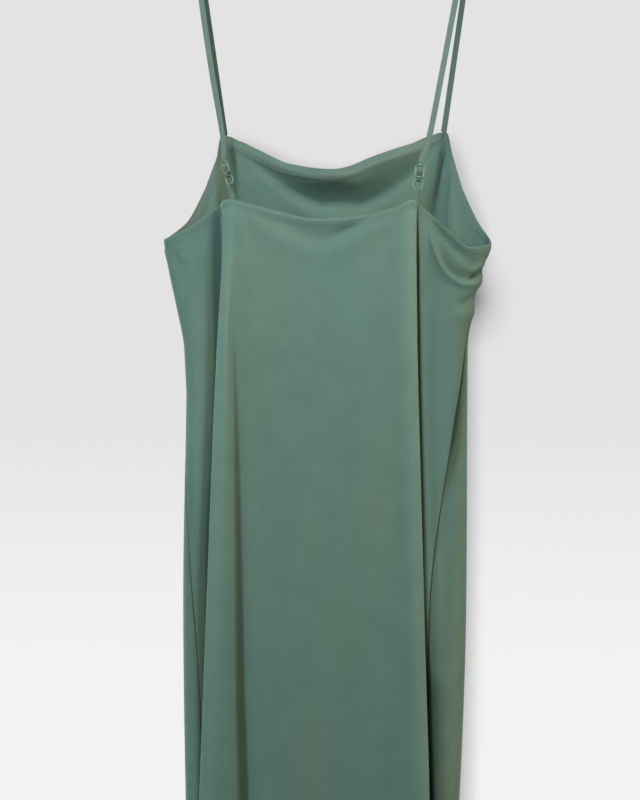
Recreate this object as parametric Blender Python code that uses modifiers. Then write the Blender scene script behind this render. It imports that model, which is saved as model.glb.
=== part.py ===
"""Slip dress with thin straps, hanging on a plain hanger.

Metres, +Z up. The origin is the point where a rail bears inside the top of the hanger's hook.
The dress's back faces -Y and its front faces +Y. All the cloth is a thin wall, open at the neck,
the armholes and the hem. Its shape comes from the FOLDS table, one row for each line that runs
down the cloth, read round the body: across the back from left to right, then along the front.
"""
from collections import namedtuple
from math import cos, hypot, pi, radians, sin, sqrt

import bmesh
import bpy
from mathutils import Matrix, Vector

MM = 0.001

# ---- cloth ----
CLOTH = 1.2 * MM                # wall of the jersey
BAND = 1.0 * MM                 # wall of the narrow bands inside the edges
GAP = 0.3 * MM                  # between pieces at a seam
DRESS_X = -4 * MM               # the dress hangs a little off the hanger's middle
ROWS = 14                       # rows of faces down a panel, the first one under its bands
STEPS = 3                       # columns of faces between two rows of FOLDS
CROWDING = 1.25                 # above 1, the rows of faces are closer together near the top
SHARP = radians(50)             # edges sharper than this show as edges

# heights at which FOLDS gives the places across (x) and the depths (y)
X_LEVELS = (-0.486, -0.607, -0.913, -1.463)     # bust, waist, hip, hem
Y_LEVELS = (-0.400, -0.607, -1.463)             # chest, waist, hem
HEM = X_LEVELS[-1]

# ---- bands, straps and fittings ----
NECK_BAND = 14 * MM             # width of the band inside the neckline
ARM_BAND = 10 * MM              # width of the band inside an armhole
STEEPEST = 2.6                  # a band reaches down at most this many of its widths
STRAP_WIDTH = 7 * MM
STRAP_THICK = 1.2 * MM
TAB_WIDTH = 7.5 * MM
TAB_THICK = 0.8 * MM
LOOP_WIDTH = 5.0 * MM           # strap and tab where they bunch up inside the ring
STUB = 2 * MM                   # upright start of a strap on its corner
STRAP_SLACK = 0.55 * MM         # the strap's loop stands this far off the ring's wire
TAB_SLACK = 0.9 * MM            # and the tab's loop this far
LEG_GAP = 0.8 * MM              # between the strap's two legs under the slider
BELOW_SLIDER = 1.2 * MM         # where the legs lie side by side under the slider's lowest bar
RING_RADIUS = 6.0 * MM          # to the middle of the wire
RING_WIRE = 0.85 * MM           # radius of the wire
SLIDER_WIDTH = 12 * MM
SLIDER_HEIGHT = 16.5 * MM
SLIDER_THICK = 1.5 * MM
SLIDER_EDGE = 1.5 * MM          # width of its frame and of its middle bar
SLIDER_BEVEL = 0.35 * MM
SLIDER_CORNER = 4.8 * MM        # rounding of its outline
SLOT_CORNER = 3.0 * MM          # rounding of its slots
SLIDER_RISE = 16.4 * MM         # from the ring's middle up to the slider's middle
SLIDER_FORWARD = 2.8 * MM       # the slider lies this far nearer the viewer, towards -Y

# ---- hanger ----
ARM_REACH = 205 * MM            # from the middle to the tip of an arm
ARM_DEPTH = 12 * MM             # thickness of the arms, front to back
ARM_EDGE = 3.2 * MM             # rounding of their edges
ARM_TALL = 24 * MM              # height of the arms at the middle
ARM_TIP = 15 * MM               # height at the tips
NECK_TOP = -62 * MM             # top of the body under the hook
ARM_SLOPE = 0.315
ARM_BEND = 12 * MM              # how softly the two arms meet in the middle
NOTCH_X = 170 * MM              # where the straps sit
NOTCH_TOP = -120 * MM           # height of the notch's floor
NOTCH_LENGTH = 15 * MM
HOOK_WIRE = 1.8 * MM            # radius of the hook's wire
HOOK_INSIDE = 20 * MM           # inside radius of the hook
HOOK_START = radians(-62)       # where its arc starts, from +X
HOOK_END = radians(205)
STEM_SUNK = 12 * MM             # how far the stem goes into the body

# One row for each fold line, in millimetres: the height of the cloth's top edge on that line,
# the places across at the bust, waist, hip and hem, and the depths at the chest, waist and hem.
Fold = namedtuple("Fold", "name top x_bust x_waist x_hip x_hem y_chest y_waist y_hem")
BACK_FOLDS = (
    Fold("left side", -471, -209, -180, -184, -173, 1, 1, 2),
    Fold("left side swell", -461, -178, -167, -175, -169, -15, -17, -18),
    Fold("left side slope", -446, -153, -150, -161, -160, -20, -23, -24),
    Fold("left valley", -436, -137, -136, -147, -149, -23, -23, -22),
    Fold("left under fold", -430, -129, -128, -134, -138, -26, -27, -27),
    Fold("left fold edge", -426, -124, -130, -142, -163, -33, -39, -39),
    Fold("left fold crest", -424, -112, -120, -130, -146, -37, -46, -48),
    Fold("left soft crease", -429, -98, -101, -97, -104, -36, -44, -42),
    Fold("back left", -441, -52, -54, -54, -58, -36, -46, -48),
    Fold("back middle", -449, -2, -3, -4, -4, -36, -45, -45),
    Fold("back right", -447, 50, 50, 50, 52, -36, -46, -49),
    Fold("right soft crease", -438, 90, 88, 92, 96, -37, -46, -45),
    Fold("right fold crest", -428, 113, 111, 119, 128, -38, -48, -50),
    Fold("right fold edge", -429, 119, 121, 130, 141, -34, -42, -43),
    Fold("right under fold", -434, 122, 110, 115, 119, -27, -31, -31),
    Fold("right valley", -445, 133, 123, 130, 128, -24, -24, -22),
    Fold("right side slope", -465, 154, 145, 145, 136, -22, -24, -24),
    Fold("right side swell", -485, 180, 163, 161, 142, -16, -17, -18),
)
FRONT_FOLDS = (
    Fold("right side", -479, 202, 173, 171, 145, 1, 2, 2),
    Fold("front right side swell", -452, 182, 165, 163, 141, 17, 20, 20),
    Fold("front right side slope", -412, 162, 152, 149, 135, 24, 25, 26),
    Fold("front right armhole", -370, 149, 138, 138, 134, 26, 24, 22),
    Fold("front right corner", -343, 141, 126, 126, 122, 30, 30, 30),
    Fold("front right fold edge", -343, 133, 136, 144, 146, 34, 42, 42),
    Fold("front right fold crest", -347, 120, 122, 132, 138, 33, 47, 50),
    Fold("front right crease", -357, 98, 98, 102, 108, 30, 44, 44),
    Fold("front right half", -371, 55, 56, 58, 60, 26, 46, 49),
    Fold("front middle", -388, 2, 2, 2, 2, 22, 47, 50),
    Fold("front left half", -380, -55, -56, -58, -60, 26, 46, 48),
    Fold("front left crease", -361, -98, -98, -102, -106, 30, 44, 45),
    Fold("front left fold crest", -350, -120, -122, -132, -138, 33, 47, 50),
    Fold("front left fold edge", -343, -136, -136, -144, -152, 34, 42, 42),
    Fold("front left corner", -343, -144, -126, -128, -126, 30, 30, 30),
    Fold("front left armhole", -370, -149, -140, -144, -143, 26, 24, 22),
    Fold("front left side slope", -408, -163, -156, -162, -158, 24, 25, 26),
    Fold("front left side swell", -450, -185, -170, -175, -168, 17, 18, 18),
)
FOLDS = BACK_FOLDS + FRONT_FOLDS
COUNT = len(FOLDS)

# Each side seam leaves the side on its way down and swings to the back: height and how many
# rows of FOLDS it has moved.
SeamPoint = namedtuple("SeamPoint", "height moved")
LEFT_SEAM = (SeamPoint(-0.72, 0.0), SeamPoint(-0.84, 1.1), SeamPoint(-0.94, 1.8),
             SeamPoint(-1.06, 2.4), SeamPoint(HEM, 3.5))
RIGHT_SEAM = (SeamPoint(-0.57, 0.0), SeamPoint(-0.67, 0.8), SeamPoint(-0.79, 1.9),
              SeamPoint(-0.92, 2.9), SeamPoint(HEM, 3.6))
SEAM_REACH = 6                  # rows of FOLDS over which a panel takes up its seam's swing


def row_of(name):
    """Number of the row of FOLDS with this name."""
    return [fold.name for fold in FOLDS].index(name)


LEFT_SIDE = COUNT               # the left side again, reached along the front
RIGHT_SIDE = row_of("right side")
BACK_CORNERS = (row_of("left fold crest"), row_of("right fold crest") + 1 / 3)
FRONT_CORNERS = (row_of("front right fold edge") - 0.5, row_of("front left fold edge") + 0.5)


# ---- the shape of the cloth ----

def hermite(values, places, at):
    """Smooth curve through values at rising or falling places, level at its turns."""
    steps = [(b - a) for a, b in zip(places, places[1:])]
    rates = [(b - a) / step for a, b, step in zip(values, values[1:], steps)]
    slopes = [rates[0]]
    for before, after in zip(rates, rates[1:]):
        level = before * after <= 0
        slopes.append(0.0 if level else 2 * before * after / (before + after))
    slopes.append(rates[-1])
    sign = 1 if steps[0] > 0 else -1
    if sign * (at - places[0]) <= 0:
        return values[0]
    if sign * (at - places[-1]) >= 0:
        return values[-1]
    piece = max(i for i, place in enumerate(places) if sign * (at - place) >= 0)
    t = (at - places[piece]) / steps[piece]
    rise = values[piece + 1] - values[piece]
    return (values[piece] + rise * t * t * (3 - 2 * t)
            + steps[piece] * t * (1 - t) * (slopes[piece] * (1 - t) - slopes[piece + 1] * t))


def fold_place(number, height):
    """Where a row of FOLDS stands at this height, as seen from above, in metres."""
    fold = FOLDS[number % COUNT]
    x = hermite((fold.x_bust, fold.x_waist, fold.x_hip, fold.x_hem), X_LEVELS, height)
    y = hermite((fold.y_chest, fold.y_waist, fold.y_hem), Y_LEVELS, height)
    return Vector((x * MM + DRESS_X, y * MM, 0))


def cloth_point(across, height):
    """Point of the cloth's outer face on the line numbered across, at this height.

    A centripetal Catmull-Rom curve runs round the body through the rows of FOLDS.
    """
    first = int(across // 1)
    t = across - first
    a, b, c, d = (fold_place(first + i, height) for i in (-1, 0, 1, 2))
    before, here, after = (sqrt((q - p).length) for p, q in ((a, b), (b, c), (c, d)))
    leave = ((b - a) * here / before + (c - b) * before / here) * here / (before + here)
    arrive = ((c - b) * after / here + (d - c) * here / after) * here / (here + after)
    point = b + (c - b) * t * t * (3 - 2 * t) + t * (1 - t) * (leave * (1 - t) - arrive * t)
    point.z = height
    return point


def outward(across, height):
    """Unit normal of the cloth, pointing out of the dress."""
    along = cloth_point(across + 0.05, height) - cloth_point(across - 0.05, height)
    down = cloth_point(across, height - 2 * MM) - cloth_point(across, height + 2 * MM)
    return down.cross(along).normalized()


def top_edge(across):
    """Height of the cloth's top edge on the line numbered across."""
    first = int(across // 1) - 1
    tops = [FOLDS[(first + i) % COUNT].top * MM for i in range(4)]
    return hermite(tops, (0, 1, 2, 3), across - first)


def seam_swing(seam, height):
    """How many rows of FOLDS a side seam has moved towards the back at this height."""
    return hermite([point.moved for point in seam], [point.height for point in seam], height)


def on_back(across, height):
    """Line of the back panel that started as across, after the side seams swing in."""
    from_left = max(0.0, 1 - across / SEAM_REACH)
    from_right = max(0.0, 1 - (RIGHT_SIDE - across) / SEAM_REACH)
    return (across + from_left * seam_swing(LEFT_SEAM, height)
            - from_right * seam_swing(RIGHT_SEAM, height))


def on_front(across, height):
    """Line of the front panel that started as across, after it follows the side seams."""
    from_right = max(0.0, 1 - (across - RIGHT_SIDE) / SEAM_REACH)
    from_left = max(0.0, 1 - (LEFT_SIDE - across) / SEAM_REACH)
    return (across - from_right * seam_swing(RIGHT_SEAM, height)
            + from_left * seam_swing(LEFT_SEAM, height))


# ---- making objects ----

def collection(name):
    group = bpy.data.collections.new(name)
    bpy.context.scene.collection.children.link(group)
    return group


def material(name, colour, roughness, metallic=0.0):
    made = bpy.data.materials.new(name)
    made.use_nodes = True
    shader = made.node_tree.nodes["Principled BSDF"]
    shader.inputs["Base Color"].default_value = (*colour, 1)
    shader.inputs["Roughness"].default_value = roughness
    shader.inputs["Metallic"].default_value = metallic
    made.diffuse_color = (*colour, 1)
    return made


def add(name, mesh, look, group):
    """New object from a mesh, with its material, in a collection."""
    made = bpy.data.objects.new(name, mesh)
    mesh.materials.append(look)
    mesh.shade_smooth()
    mesh.set_sharp_from_angle(angle=SHARP)
    group.objects.link(made)
    return made


def move_to(made, group):
    """Take an object out of its collections and put it in this one."""
    for owner in list(made.users_collection):
        owner.objects.unlink(made)
    group.objects.link(made)


def loft(name, sections):
    """Closed mesh through sections of equal point counts, with both ends filled."""
    mesh = bpy.data.meshes.new(name)
    solid = bmesh.new()
    rings = [[solid.verts.new(point) for point in section] for section in sections]
    count = len(rings[0])
    for ring, following in zip(rings, rings[1:]):
        for i in range(count):
            j = (i + 1) % count
            solid.faces.new((ring[i], ring[j], following[j], following[i]))
    solid.faces.new(reversed(rings[0]))
    solid.faces.new(rings[-1])
    bmesh.ops.recalc_face_normals(solid, faces=solid.faces)
    solid.to_mesh(mesh)
    solid.free()
    return mesh


def wall(name, columns, inside, thick):
    """Cloth wall over columns of (point, normal) pairs, its outer face this far inside them."""
    count = len(columns[0])
    last = len(columns) - 1
    mesh = bpy.data.meshes.new(name)
    solid = bmesh.new()
    sides = []
    for depth in (inside, inside + thick):
        points = [point - normal * depth for column in columns for point, normal in column]
        sides.append([solid.verts.new(point) for point in points])

    def vert(side, line, row):
        return sides[side][line * count + row]

    for line in range(last):
        for row in range(count - 1):
            for side in (0, 1):
                high, low = vert(side, line, row), vert(side, line, row + 1)
                next_high, next_low = vert(side, line + 1, row), vert(side, line + 1, row + 1)
                solid.faces.new((high, low, next_low))
                solid.faces.new((high, next_low, next_high))
        for row in (0, count - 1):
            solid.faces.new((vert(0, line, row), vert(0, line + 1, row),
                             vert(1, line + 1, row), vert(1, line, row)))
    for row in range(count - 1):
        for line in (0, last):
            solid.faces.new((vert(0, line, row), vert(0, line, row + 1),
                             vert(1, line, row + 1), vert(1, line, row)))
    bmesh.ops.recalc_face_normals(solid, faces=solid.faces)
    solid.to_mesh(mesh)
    solid.free()
    return mesh


def seam_trim(across, height):
    """Half a seam's gap, as a part of the way between two rows of FOLDS."""
    reach = 0.1
    width = (cloth_point(across + reach, height) - cloth_point(across - reach, height)).length
    return GAP * reach / width


# ---- the dress ----

def band_depth(across, is_neck):
    """How far down a band reaches, so that it is as wide as it should be where the edge slopes."""
    reach = 0.3
    run = (cloth_point(across + reach, top_edge(across + reach))
           - cloth_point(across - reach, top_edge(across - reach)))
    steepness = min(STEEPEST, run.length / max(hypot(run.x, run.y), GAP))
    return (NECK_BAND if is_neck else ARM_BAND) * steepness


def panel_columns(start, end, follow, corners):
    """Columns of (point, normal) pairs of a panel; the first rows are the ones under its bands."""
    columns = []
    for i in range((end - start) * STEPS + 1):
        line = start + i / STEPS
        top = top_edge(line)
        under_band = top - band_depth(line, corners[0] < line < corners[1])
        heights = [top, under_band]
        for row in range(1, ROWS):
            heights.append(under_band + (HEM - under_band) * (row / (ROWS - 1)) ** CROWDING)
        column = []
        for height in heights:
            across = follow(line, height)
            if line == start:
                across += seam_trim(across, height)
            if line == end:
                across -= seam_trim(across, height)
            column.append((cloth_point(across, height), outward(across, height)))
        columns.append(column)
    return columns


def middle_column(column, other):
    """Column halfway between two columns."""
    return [(point.lerp(far, 0.5), (normal + far_normal).normalized())
            for (point, normal), (far, far_normal) in zip(column, other)]


def band(name, columns, look, group):
    """Narrow band on the inside of a top edge, between its two corners but clear of them."""
    edge = [column[:2] for column in columns[1:-1]]
    add(name, wall(name, edge, CLOTH + GAP, BAND), look, group)


def dress_body(look, group):
    """The two panels and the four bands inside their top edges."""
    back = panel_columns(0, RIGHT_SIDE, on_back, BACK_CORNERS)
    front = panel_columns(RIGHT_SIDE, LEFT_SIDE, on_front, FRONT_CORNERS)
    add("back_panel", wall("back_panel", back, 0.0, CLOTH), look, group)
    add("front_panel", wall("front_panel", front, 0.0, CLOTH), look, group)

    back_left, back_right = (round(corner * STEPS) for corner in BACK_CORNERS)
    front_right, front_left = (round((corner - RIGHT_SIDE) * STEPS) for corner in FRONT_CORNERS)
    right_seam = middle_column(back[-1], front[0])
    left_seam = middle_column(front[-1], back[0])
    band("back_neck_band", back[back_left:back_right + 1], look, group)
    band("front_neck_band", front[front_right:front_left + 1], look, group)
    band("armhole_band_right", back[back_right:-1] + [right_seam] + front[1:front_right + 1],
         look, group)
    band("armhole_band_left", front[front_left:-1] + [left_seam] + back[1:back_left + 1],
         look, group)


# ---- straps, rings, sliders and tabs ----

# One row for each side: the ring's middle (its height and place across), how far ring and slider
# are turned about the vertical, how far the strap leans there, and in millimetres the places
# across and heights where the strap's back leg passes, from the slider up to the hanger.
Side = namedtuple("Side", "name ring_x ring_z turn lean corner_x front_x front_top back_leg")
SIDES = (
    Side("left", -0.1190, -0.4010, radians(-32), radians(-18), -0.1150, -0.144, -0.1700,
         ((-0.1300, -0.3440), (-0.1458, -0.2660), (-0.1595, -0.1900), (-0.1700, None))),
    Side("right", 0.1160, -0.4095, radians(6), radians(9), 0.1130, 0.133, 0.1715,
         ((0.1300, -0.3490), (0.1444, -0.2660), (0.1570, -0.1900), (0.1690, None))),
)
RING_Y = -0.0370                # depth of the rings
FRONT_STRAP_Y = 0.0325          # depth of the straps where they leave the front corners
WEAVE = 1.75 * MM               # how far the strap passes in front of or behind the slider

# The strap's end behind the slider's middle bar: millimetres behind the other leg, and the drop
# below the bar as a part of the way to the next one.
TUCK = ((2.1, 0.8), (1.7, 0.5), (0.6, 0.15), (0.1, -0.15))

# One leg of a tab from its corner up to the ring: how far down it starts, how far it has moved
# towards the ring's place, and its distance from the other leg in tab thicknesses.
TabPoint = namedtuple("TabPoint", "down moved apart")
TAB_LEG = (TabPoint(1.0, 0.0, 0.70), TabPoint(0.85, 0.0, 0.70), TabPoint(0.6, 0.5, 0.90),
           TabPoint(0.35, 0.8, 1.2))


def smooth_path(points, steps):
    """Points of a Catmull-Rom curve through these, with this many to a stretch."""
    ends = [2 * points[0] - points[1], *points, 2 * points[-1] - points[-2]]
    path = []
    for a, b, c, d in zip(ends, ends[1:], ends[2:], ends[3:]):
        for step in range(steps):
            t = step / steps
            path.append(b + 0.5 * t * (c - a + t * (2 * a - 5 * b + 4 * c - d
                                                    + t * (3 * (b - c) + d - a))))
    return path + [points[-1]]


def ribbon(name, spine, thick):
    """Strip of cloth along a spine of (middle, direction across, width) stations."""
    sections = []
    for i, (middle, across, width) in enumerate(spine):
        before = spine[max(i - 1, 0)][0]
        after = spine[min(i + 1, len(spine) - 1)][0]
        along = (after - before).normalized()
        across = (across - along * across.dot(along)).normalized()
        face = along.cross(across) * thick / 2
        side = across * width / 2
        sections.append([middle - side - face, middle + side - face,
                         middle + side + face, middle - side + face])
    return loft(name, sections)


def fitting_place(side):
    """Placement of a side's ring and slider: the ring's middle, turned and leaning."""
    spot = Matrix.Translation((side.ring_x, RING_Y, side.ring_z))
    return spot @ Matrix.Rotation(side.turn, 4, "Z") @ Matrix.Rotation(side.lean, 4, "Y")


def over_the_hanger(side):
    """Stations of the strap over its notch: front edge, flat top, back edge."""
    bend = GAP + STRAP_THICK / 2
    back_top = side.back_leg[-1][0]
    path = []
    for sign, x in ((1, side.front_top), (-1, back_top)):
        for step in range(4):
            angle = pi / 2 * (step / 3 if sign > 0 else 1 - step / 3)
            y = sign * (ARM_DEPTH / 2 + bend * cos(angle))
            path.append(Vector((x, y, NOTCH_TOP + bend * sin(angle))))
    return path


def back_leg(side):
    """Stations of the strap from the hanger down to its slider."""
    top_y = -(ARM_DEPTH / 2 + GAP + STRAP_THICK / 2)
    top_z = NOTCH_TOP
    place = fitting_place(side)
    slider = SLIDER_RISE + SLIDER_HEIGHT / 2
    low = place @ Vector((0, WEAVE - SLIDER_FORWARD, slider - SLIDER_EDGE / 2))
    legs = []
    for x, z in reversed(side.back_leg[:-1]):
        part = (top_z - z) / (top_z - low.z)
        legs.append(Vector((x, top_y + (low.y - top_y) * part, z)))
    above = place @ Vector((0, WEAVE - SLIDER_FORWARD, slider + 4 * MM))
    return smooth_path([Vector((side.back_leg[-1][0], top_y, top_z)), *legs, above], 6)[1:]


def through_fittings(side):
    """Stations of the strap woven through the slider, round the ring and back up."""
    place = fitting_place(side)
    pitch = (SLIDER_HEIGHT - SLIDER_EDGE) / 2
    under = SLIDER_RISE - pitch - BELOW_SLIDER
    behind = WEAVE - SLIDER_FORWARD
    loop = RING_WIRE + STRAP_THICK / 2 + GAP + STRAP_SLACK
    points = []
    for step in range(17):
        rise = pitch * (1 - step / 8)
        y = -WEAVE * cos(pi * rise / pitch) - SLIDER_FORWARD
        points.append((y, SLIDER_RISE + rise, STRAP_WIDTH))
    points.append((behind, under, STRAP_WIDTH))
    for step in range(9):
        angle = pi * (1 + step / 8)
        points.append((loop * cos(angle), RING_RADIUS + loop * sin(angle), LOOP_WIDTH))
    points.append((WEAVE + LEG_GAP, under, STRAP_WIDTH))
    for further, down in TUCK:
        points.append((behind + further * MM, SLIDER_RISE - down * pitch, STRAP_WIDTH))
    across = (place.to_3x3() @ Vector((1, 0, 0)))
    return [(place @ Vector((0, y, z)), across, width) for y, z, width in points]


def strap(side, look, group):
    """Strap from the front corner, over the hanger, through slider and ring to the slider."""
    corner = Vector((side.front_x, FRONT_STRAP_Y, 0))
    across_row = FRONT_CORNERS[0] if side.front_x > 0 else FRONT_CORNERS[1]
    corner.z = top_edge(across_row) + GAP
    top = over_the_hanger(side)
    stub = corner + Vector((0, 0, STUB))
    front = [corner] + [stub.lerp(top[0], part / 6) for part in range(6)]
    flat_on = Vector((1, 0, 0))
    stations = [(point, flat_on, STRAP_WIDTH) for point in front + top]
    leg = back_leg(side)
    turned = fitting_place(side).to_3x3() @ flat_on
    for i, point in enumerate(leg):
        twist = max(0.0, (i + 1 - len(leg) / 2) / (len(leg) / 2))
        stations.append((point, flat_on.lerp(turned, twist), STRAP_WIDTH))
    stations += through_fittings(side)
    name = f"strap_{side.name}"
    add(name, ribbon(name, stations, STRAP_THICK), look, group)


def tab(side, look, group):
    """Short loop of cloth that holds the ring above a back corner."""
    low_wire = side.ring_z - RING_RADIUS
    loop = RING_WIRE + TAB_THICK / 2 + TAB_SLACK
    corner = BACK_CORNERS[0] if side.corner_x < 0 else BACK_CORNERS[1]
    base = top_edge(corner) + GAP - low_wire
    points = [(-leg.apart * TAB_THICK, base * leg.down, leg.moved) for leg in TAB_LEG]
    for step in range(9):
        angle = pi * (1 - step / 8)
        points.append((loop * cos(angle), loop * sin(angle), 1.0))
    points += [(leg.apart * TAB_THICK, base * leg.down, leg.moved) for leg in reversed(TAB_LEG)]
    stations = []
    for y, z, part in points:
        spin = Matrix.Rotation(side.turn * part, 3, "Z")
        middle = Vector((side.corner_x, RING_Y, low_wire))
        middle.x += (side.ring_x - side.corner_x) * part
        offset = spin @ Vector((0, y, 0))
        across = spin @ Vector((1, 0, 0))
        width = TAB_WIDTH + (LOOP_WIDTH - TAB_WIDTH) * part
        stations.append((middle + offset + Vector((0, 0, z)), across, width))
    name = f"tab_{side.name}"
    add(name, ribbon(name, stations, TAB_THICK), look, group)


def ring(side, look, group):
    bpy.ops.mesh.primitive_torus_add(major_radius=RING_RADIUS, minor_radius=RING_WIRE,
                                     major_segments=28, minor_segments=8)
    made = bpy.context.object
    made.name = f"ring_{side.name}"
    made.data.materials.append(look)
    made.data.shade_smooth()
    made.matrix_world = fitting_place(side) @ Matrix.Rotation(pi / 2, 4, "X")
    move_to(made, group)


def oval(curve, middle, half_width, half_height, corner, steps):
    """Closed rounded oblong in a flat curve."""
    spline = curve.splines.new("POLY")
    points = []
    for turn, (sx, sy) in enumerate(((1, 1), (-1, 1), (-1, -1), (1, -1))):
        for step in range(steps + 1):
            angle = pi / 2 * (turn + step / steps)
            points.append((sx * (half_width - corner) + corner * cos(angle),
                           middle + sy * (half_height - corner) + corner * sin(angle)))
    spline.points.add(len(points) - 1)
    for point, (x, y) in zip(spline.points, points):
        point.co = (x, y, 0, 1)
    spline.use_cyclic_u = True


def slider(side, look, group):
    """Oblong frame with a middle bar and two slots."""
    curve = bpy.data.curves.new(f"slider_{side.name}", "CURVE")
    curve.dimensions = "2D"
    curve.fill_mode = "BOTH"
    curve.bevel_depth = SLIDER_BEVEL
    curve.bevel_resolution = 1
    curve.extrude = SLIDER_THICK / 2 - SLIDER_BEVEL
    oval(curve, 0, SLIDER_WIDTH / 2 - SLIDER_BEVEL, SLIDER_HEIGHT / 2 - SLIDER_BEVEL,
         SLIDER_CORNER, 6)
    slot = (SLIDER_HEIGHT - 3 * SLIDER_EDGE) / 2
    slot_half_width = SLIDER_WIDTH / 2 - SLIDER_EDGE + SLIDER_BEVEL
    for sign in (1, -1):
        oval(curve, sign * (slot + SLIDER_EDGE) / 2, slot_half_width, slot / 2 + SLIDER_BEVEL,
             SLOT_CORNER, 3)
    flat = bpy.data.objects.new(f"slider_{side.name}", curve)
    group.objects.link(flat)
    curve.materials.append(look)
    place = fitting_place(side) @ Matrix.Translation((0, -SLIDER_FORWARD, SLIDER_RISE))
    flat.matrix_world = place @ Matrix.Rotation(pi / 2, 4, "X")


# ---- the hanger ----

def arm_line(x):
    """Height of the arms' top outline."""
    return NECK_TOP - ARM_SLOPE * (hypot(x, ARM_BEND) - ARM_BEND)


def hanger_outline():
    """Outline of the hanger's body from the front, with round tips."""
    tip = ARM_TIP / 2
    end = ARM_REACH - tip
    stations = [end * (part / 8) ** 1.5 for part in range(9)]
    outline = [(x, arm_line(x)) for x in stations]
    for step in range(1, 6):
        angle = pi / 2 - pi * step / 6
        outline.append((end + tip * cos(angle), arm_line(end) - tip + tip * sin(angle)))
    for x in reversed(stations):
        outline.append((x, arm_line(x) - ARM_TALL + (ARM_TALL - ARM_TIP) * x / end))
    mirrored = [(-x, z) for x, z in outline if x > 0]
    return outline + mirrored[::-1]


def cut(body, cutter, cutters, name):
    """Cut a hidden solid out of a body."""
    cutter.name = name
    cutter.hide_render = True
    cutter.display_type = "WIRE"
    move_to(cutter, cutters)
    hole = body.modifiers.new(name, "BOOLEAN")
    hole.object = cutter
    hole.solver = "EXACT"


def hanger_body(look, group):
    """Arms with rounded edges, cut from one outline, with strap notches and a stem hole."""
    outline = hanger_outline()
    mesh = bpy.data.meshes.new("hanger_body")
    solid = bmesh.new()
    face = solid.faces.new([solid.verts.new((x, -ARM_DEPTH / 2, z)) for x, z in outline])
    pushed = bmesh.ops.extrude_face_region(solid, geom=[face])
    moved = [item for item in pushed["geom"] if isinstance(item, bmesh.types.BMVert)]
    bmesh.ops.translate(solid, verts=moved, vec=(0, ARM_DEPTH, 0))
    bmesh.ops.recalc_face_normals(solid, faces=solid.faces)
    solid.to_mesh(mesh)
    solid.free()
    body = add("hanger_body", mesh, look, group)
    rounding = body.modifiers.new("rounded edges", "BEVEL")
    rounding.width = ARM_EDGE
    rounding.segments = 3
    rounding.limit_method = "ANGLE"
    rounding.angle_limit = radians(60)
    cutters = collection("cutters")
    bpy.ops.mesh.primitive_cylinder_add(vertices=24, radius=HOOK_WIRE + GAP, depth=2 * STEM_SUNK,
                                        location=(0, 0, NECK_TOP))
    cut(body, bpy.context.object, cutters, "stem_hole")
    for side, name in ((-1, "notch_left"), (1, "notch_right")):
        bpy.ops.mesh.primitive_cube_add(size=1, location=(side * NOTCH_X, 0,
                                                          NOTCH_TOP + NOTCH_LENGTH / 2))
        box = bpy.context.object
        box.scale = (NOTCH_LENGTH, 2 * ARM_DEPTH, NOTCH_LENGTH)
        cut(body, box, cutters, name)


def hanger_hook(look, group):
    """Wire hook: a stem, a bend and an arc round the rail's place at the origin."""
    radius = HOOK_INSIDE + HOOK_WIRE
    middle = -HOOK_INSIDE
    joint = (radius * cos(HOOK_START), middle + radius * sin(HOOK_START))
    points = [(0, NECK_TOP - STEM_SUNK + GAP), (0, NECK_TOP), (0, joint[1] - 9 * MM)]
    points += [(0.12 * joint[0], joint[1] - 6 * MM), (0.5 * joint[0], joint[1] - 2.6 * MM)]
    for step in range(23):
        angle = HOOK_START + (HOOK_END - HOOK_START) * step / 22
        points.append((radius * cos(angle), middle + radius * sin(angle)))
    curve = bpy.data.curves.new("hanger_hook", "CURVE")
    curve.dimensions = "3D"
    curve.bevel_depth = HOOK_WIRE
    curve.bevel_resolution = 2
    curve.use_fill_caps = True
    spline = curve.splines.new("POLY")
    spline.points.add(len(points) - 1)
    for point, (x, z) in zip(spline.points, points):
        point.co = (x, 0, z, 1)
    made = bpy.data.objects.new("hanger_hook", curve)
    curve.materials.append(look)
    group.objects.link(made)


def build():
    for old in list(bpy.data.objects):
        bpy.data.objects.remove(old, do_unlink=True)
    group = collection("sundress on hanger")
    jersey = material("sage jersey", (0.13, 0.22, 0.18), 0.6)
    lacquer = material("dyed lacquer", (0.22, 0.34, 0.29), 0.3)
    wood = material("pale wood", (0.62, 0.47, 0.31), 0.45)
    steel = material("hook steel", (0.72, 0.72, 0.72), 0.25, 1.0)

    dress_body(jersey, group)
    for side in SIDES:
        strap(side, jersey, group)
        tab(side, jersey, group)
        ring(side, lacquer, group)
        slider(side, lacquer, group)
    hanger_body(wood, group)
    hanger_hook(steel, group)


build()
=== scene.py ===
"""Looks of a long jersey slip dress that hangs by thin straps from a plain wooden hanger.

Metres, +Z up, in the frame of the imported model: the origin is where a rail bears under the top of
the hook, the dress's back faces -Y and its front faces +Y. All the cloth is one smooth surface,
read round the body through the rows of FOLDS and then pushed out or in by the rows of CREASES.
"""
from collections import namedtuple
from math import cos, hypot, pi, radians, sin

import bmesh
import bpy
import numpy as np
from mathutils import Matrix, Vector


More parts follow.
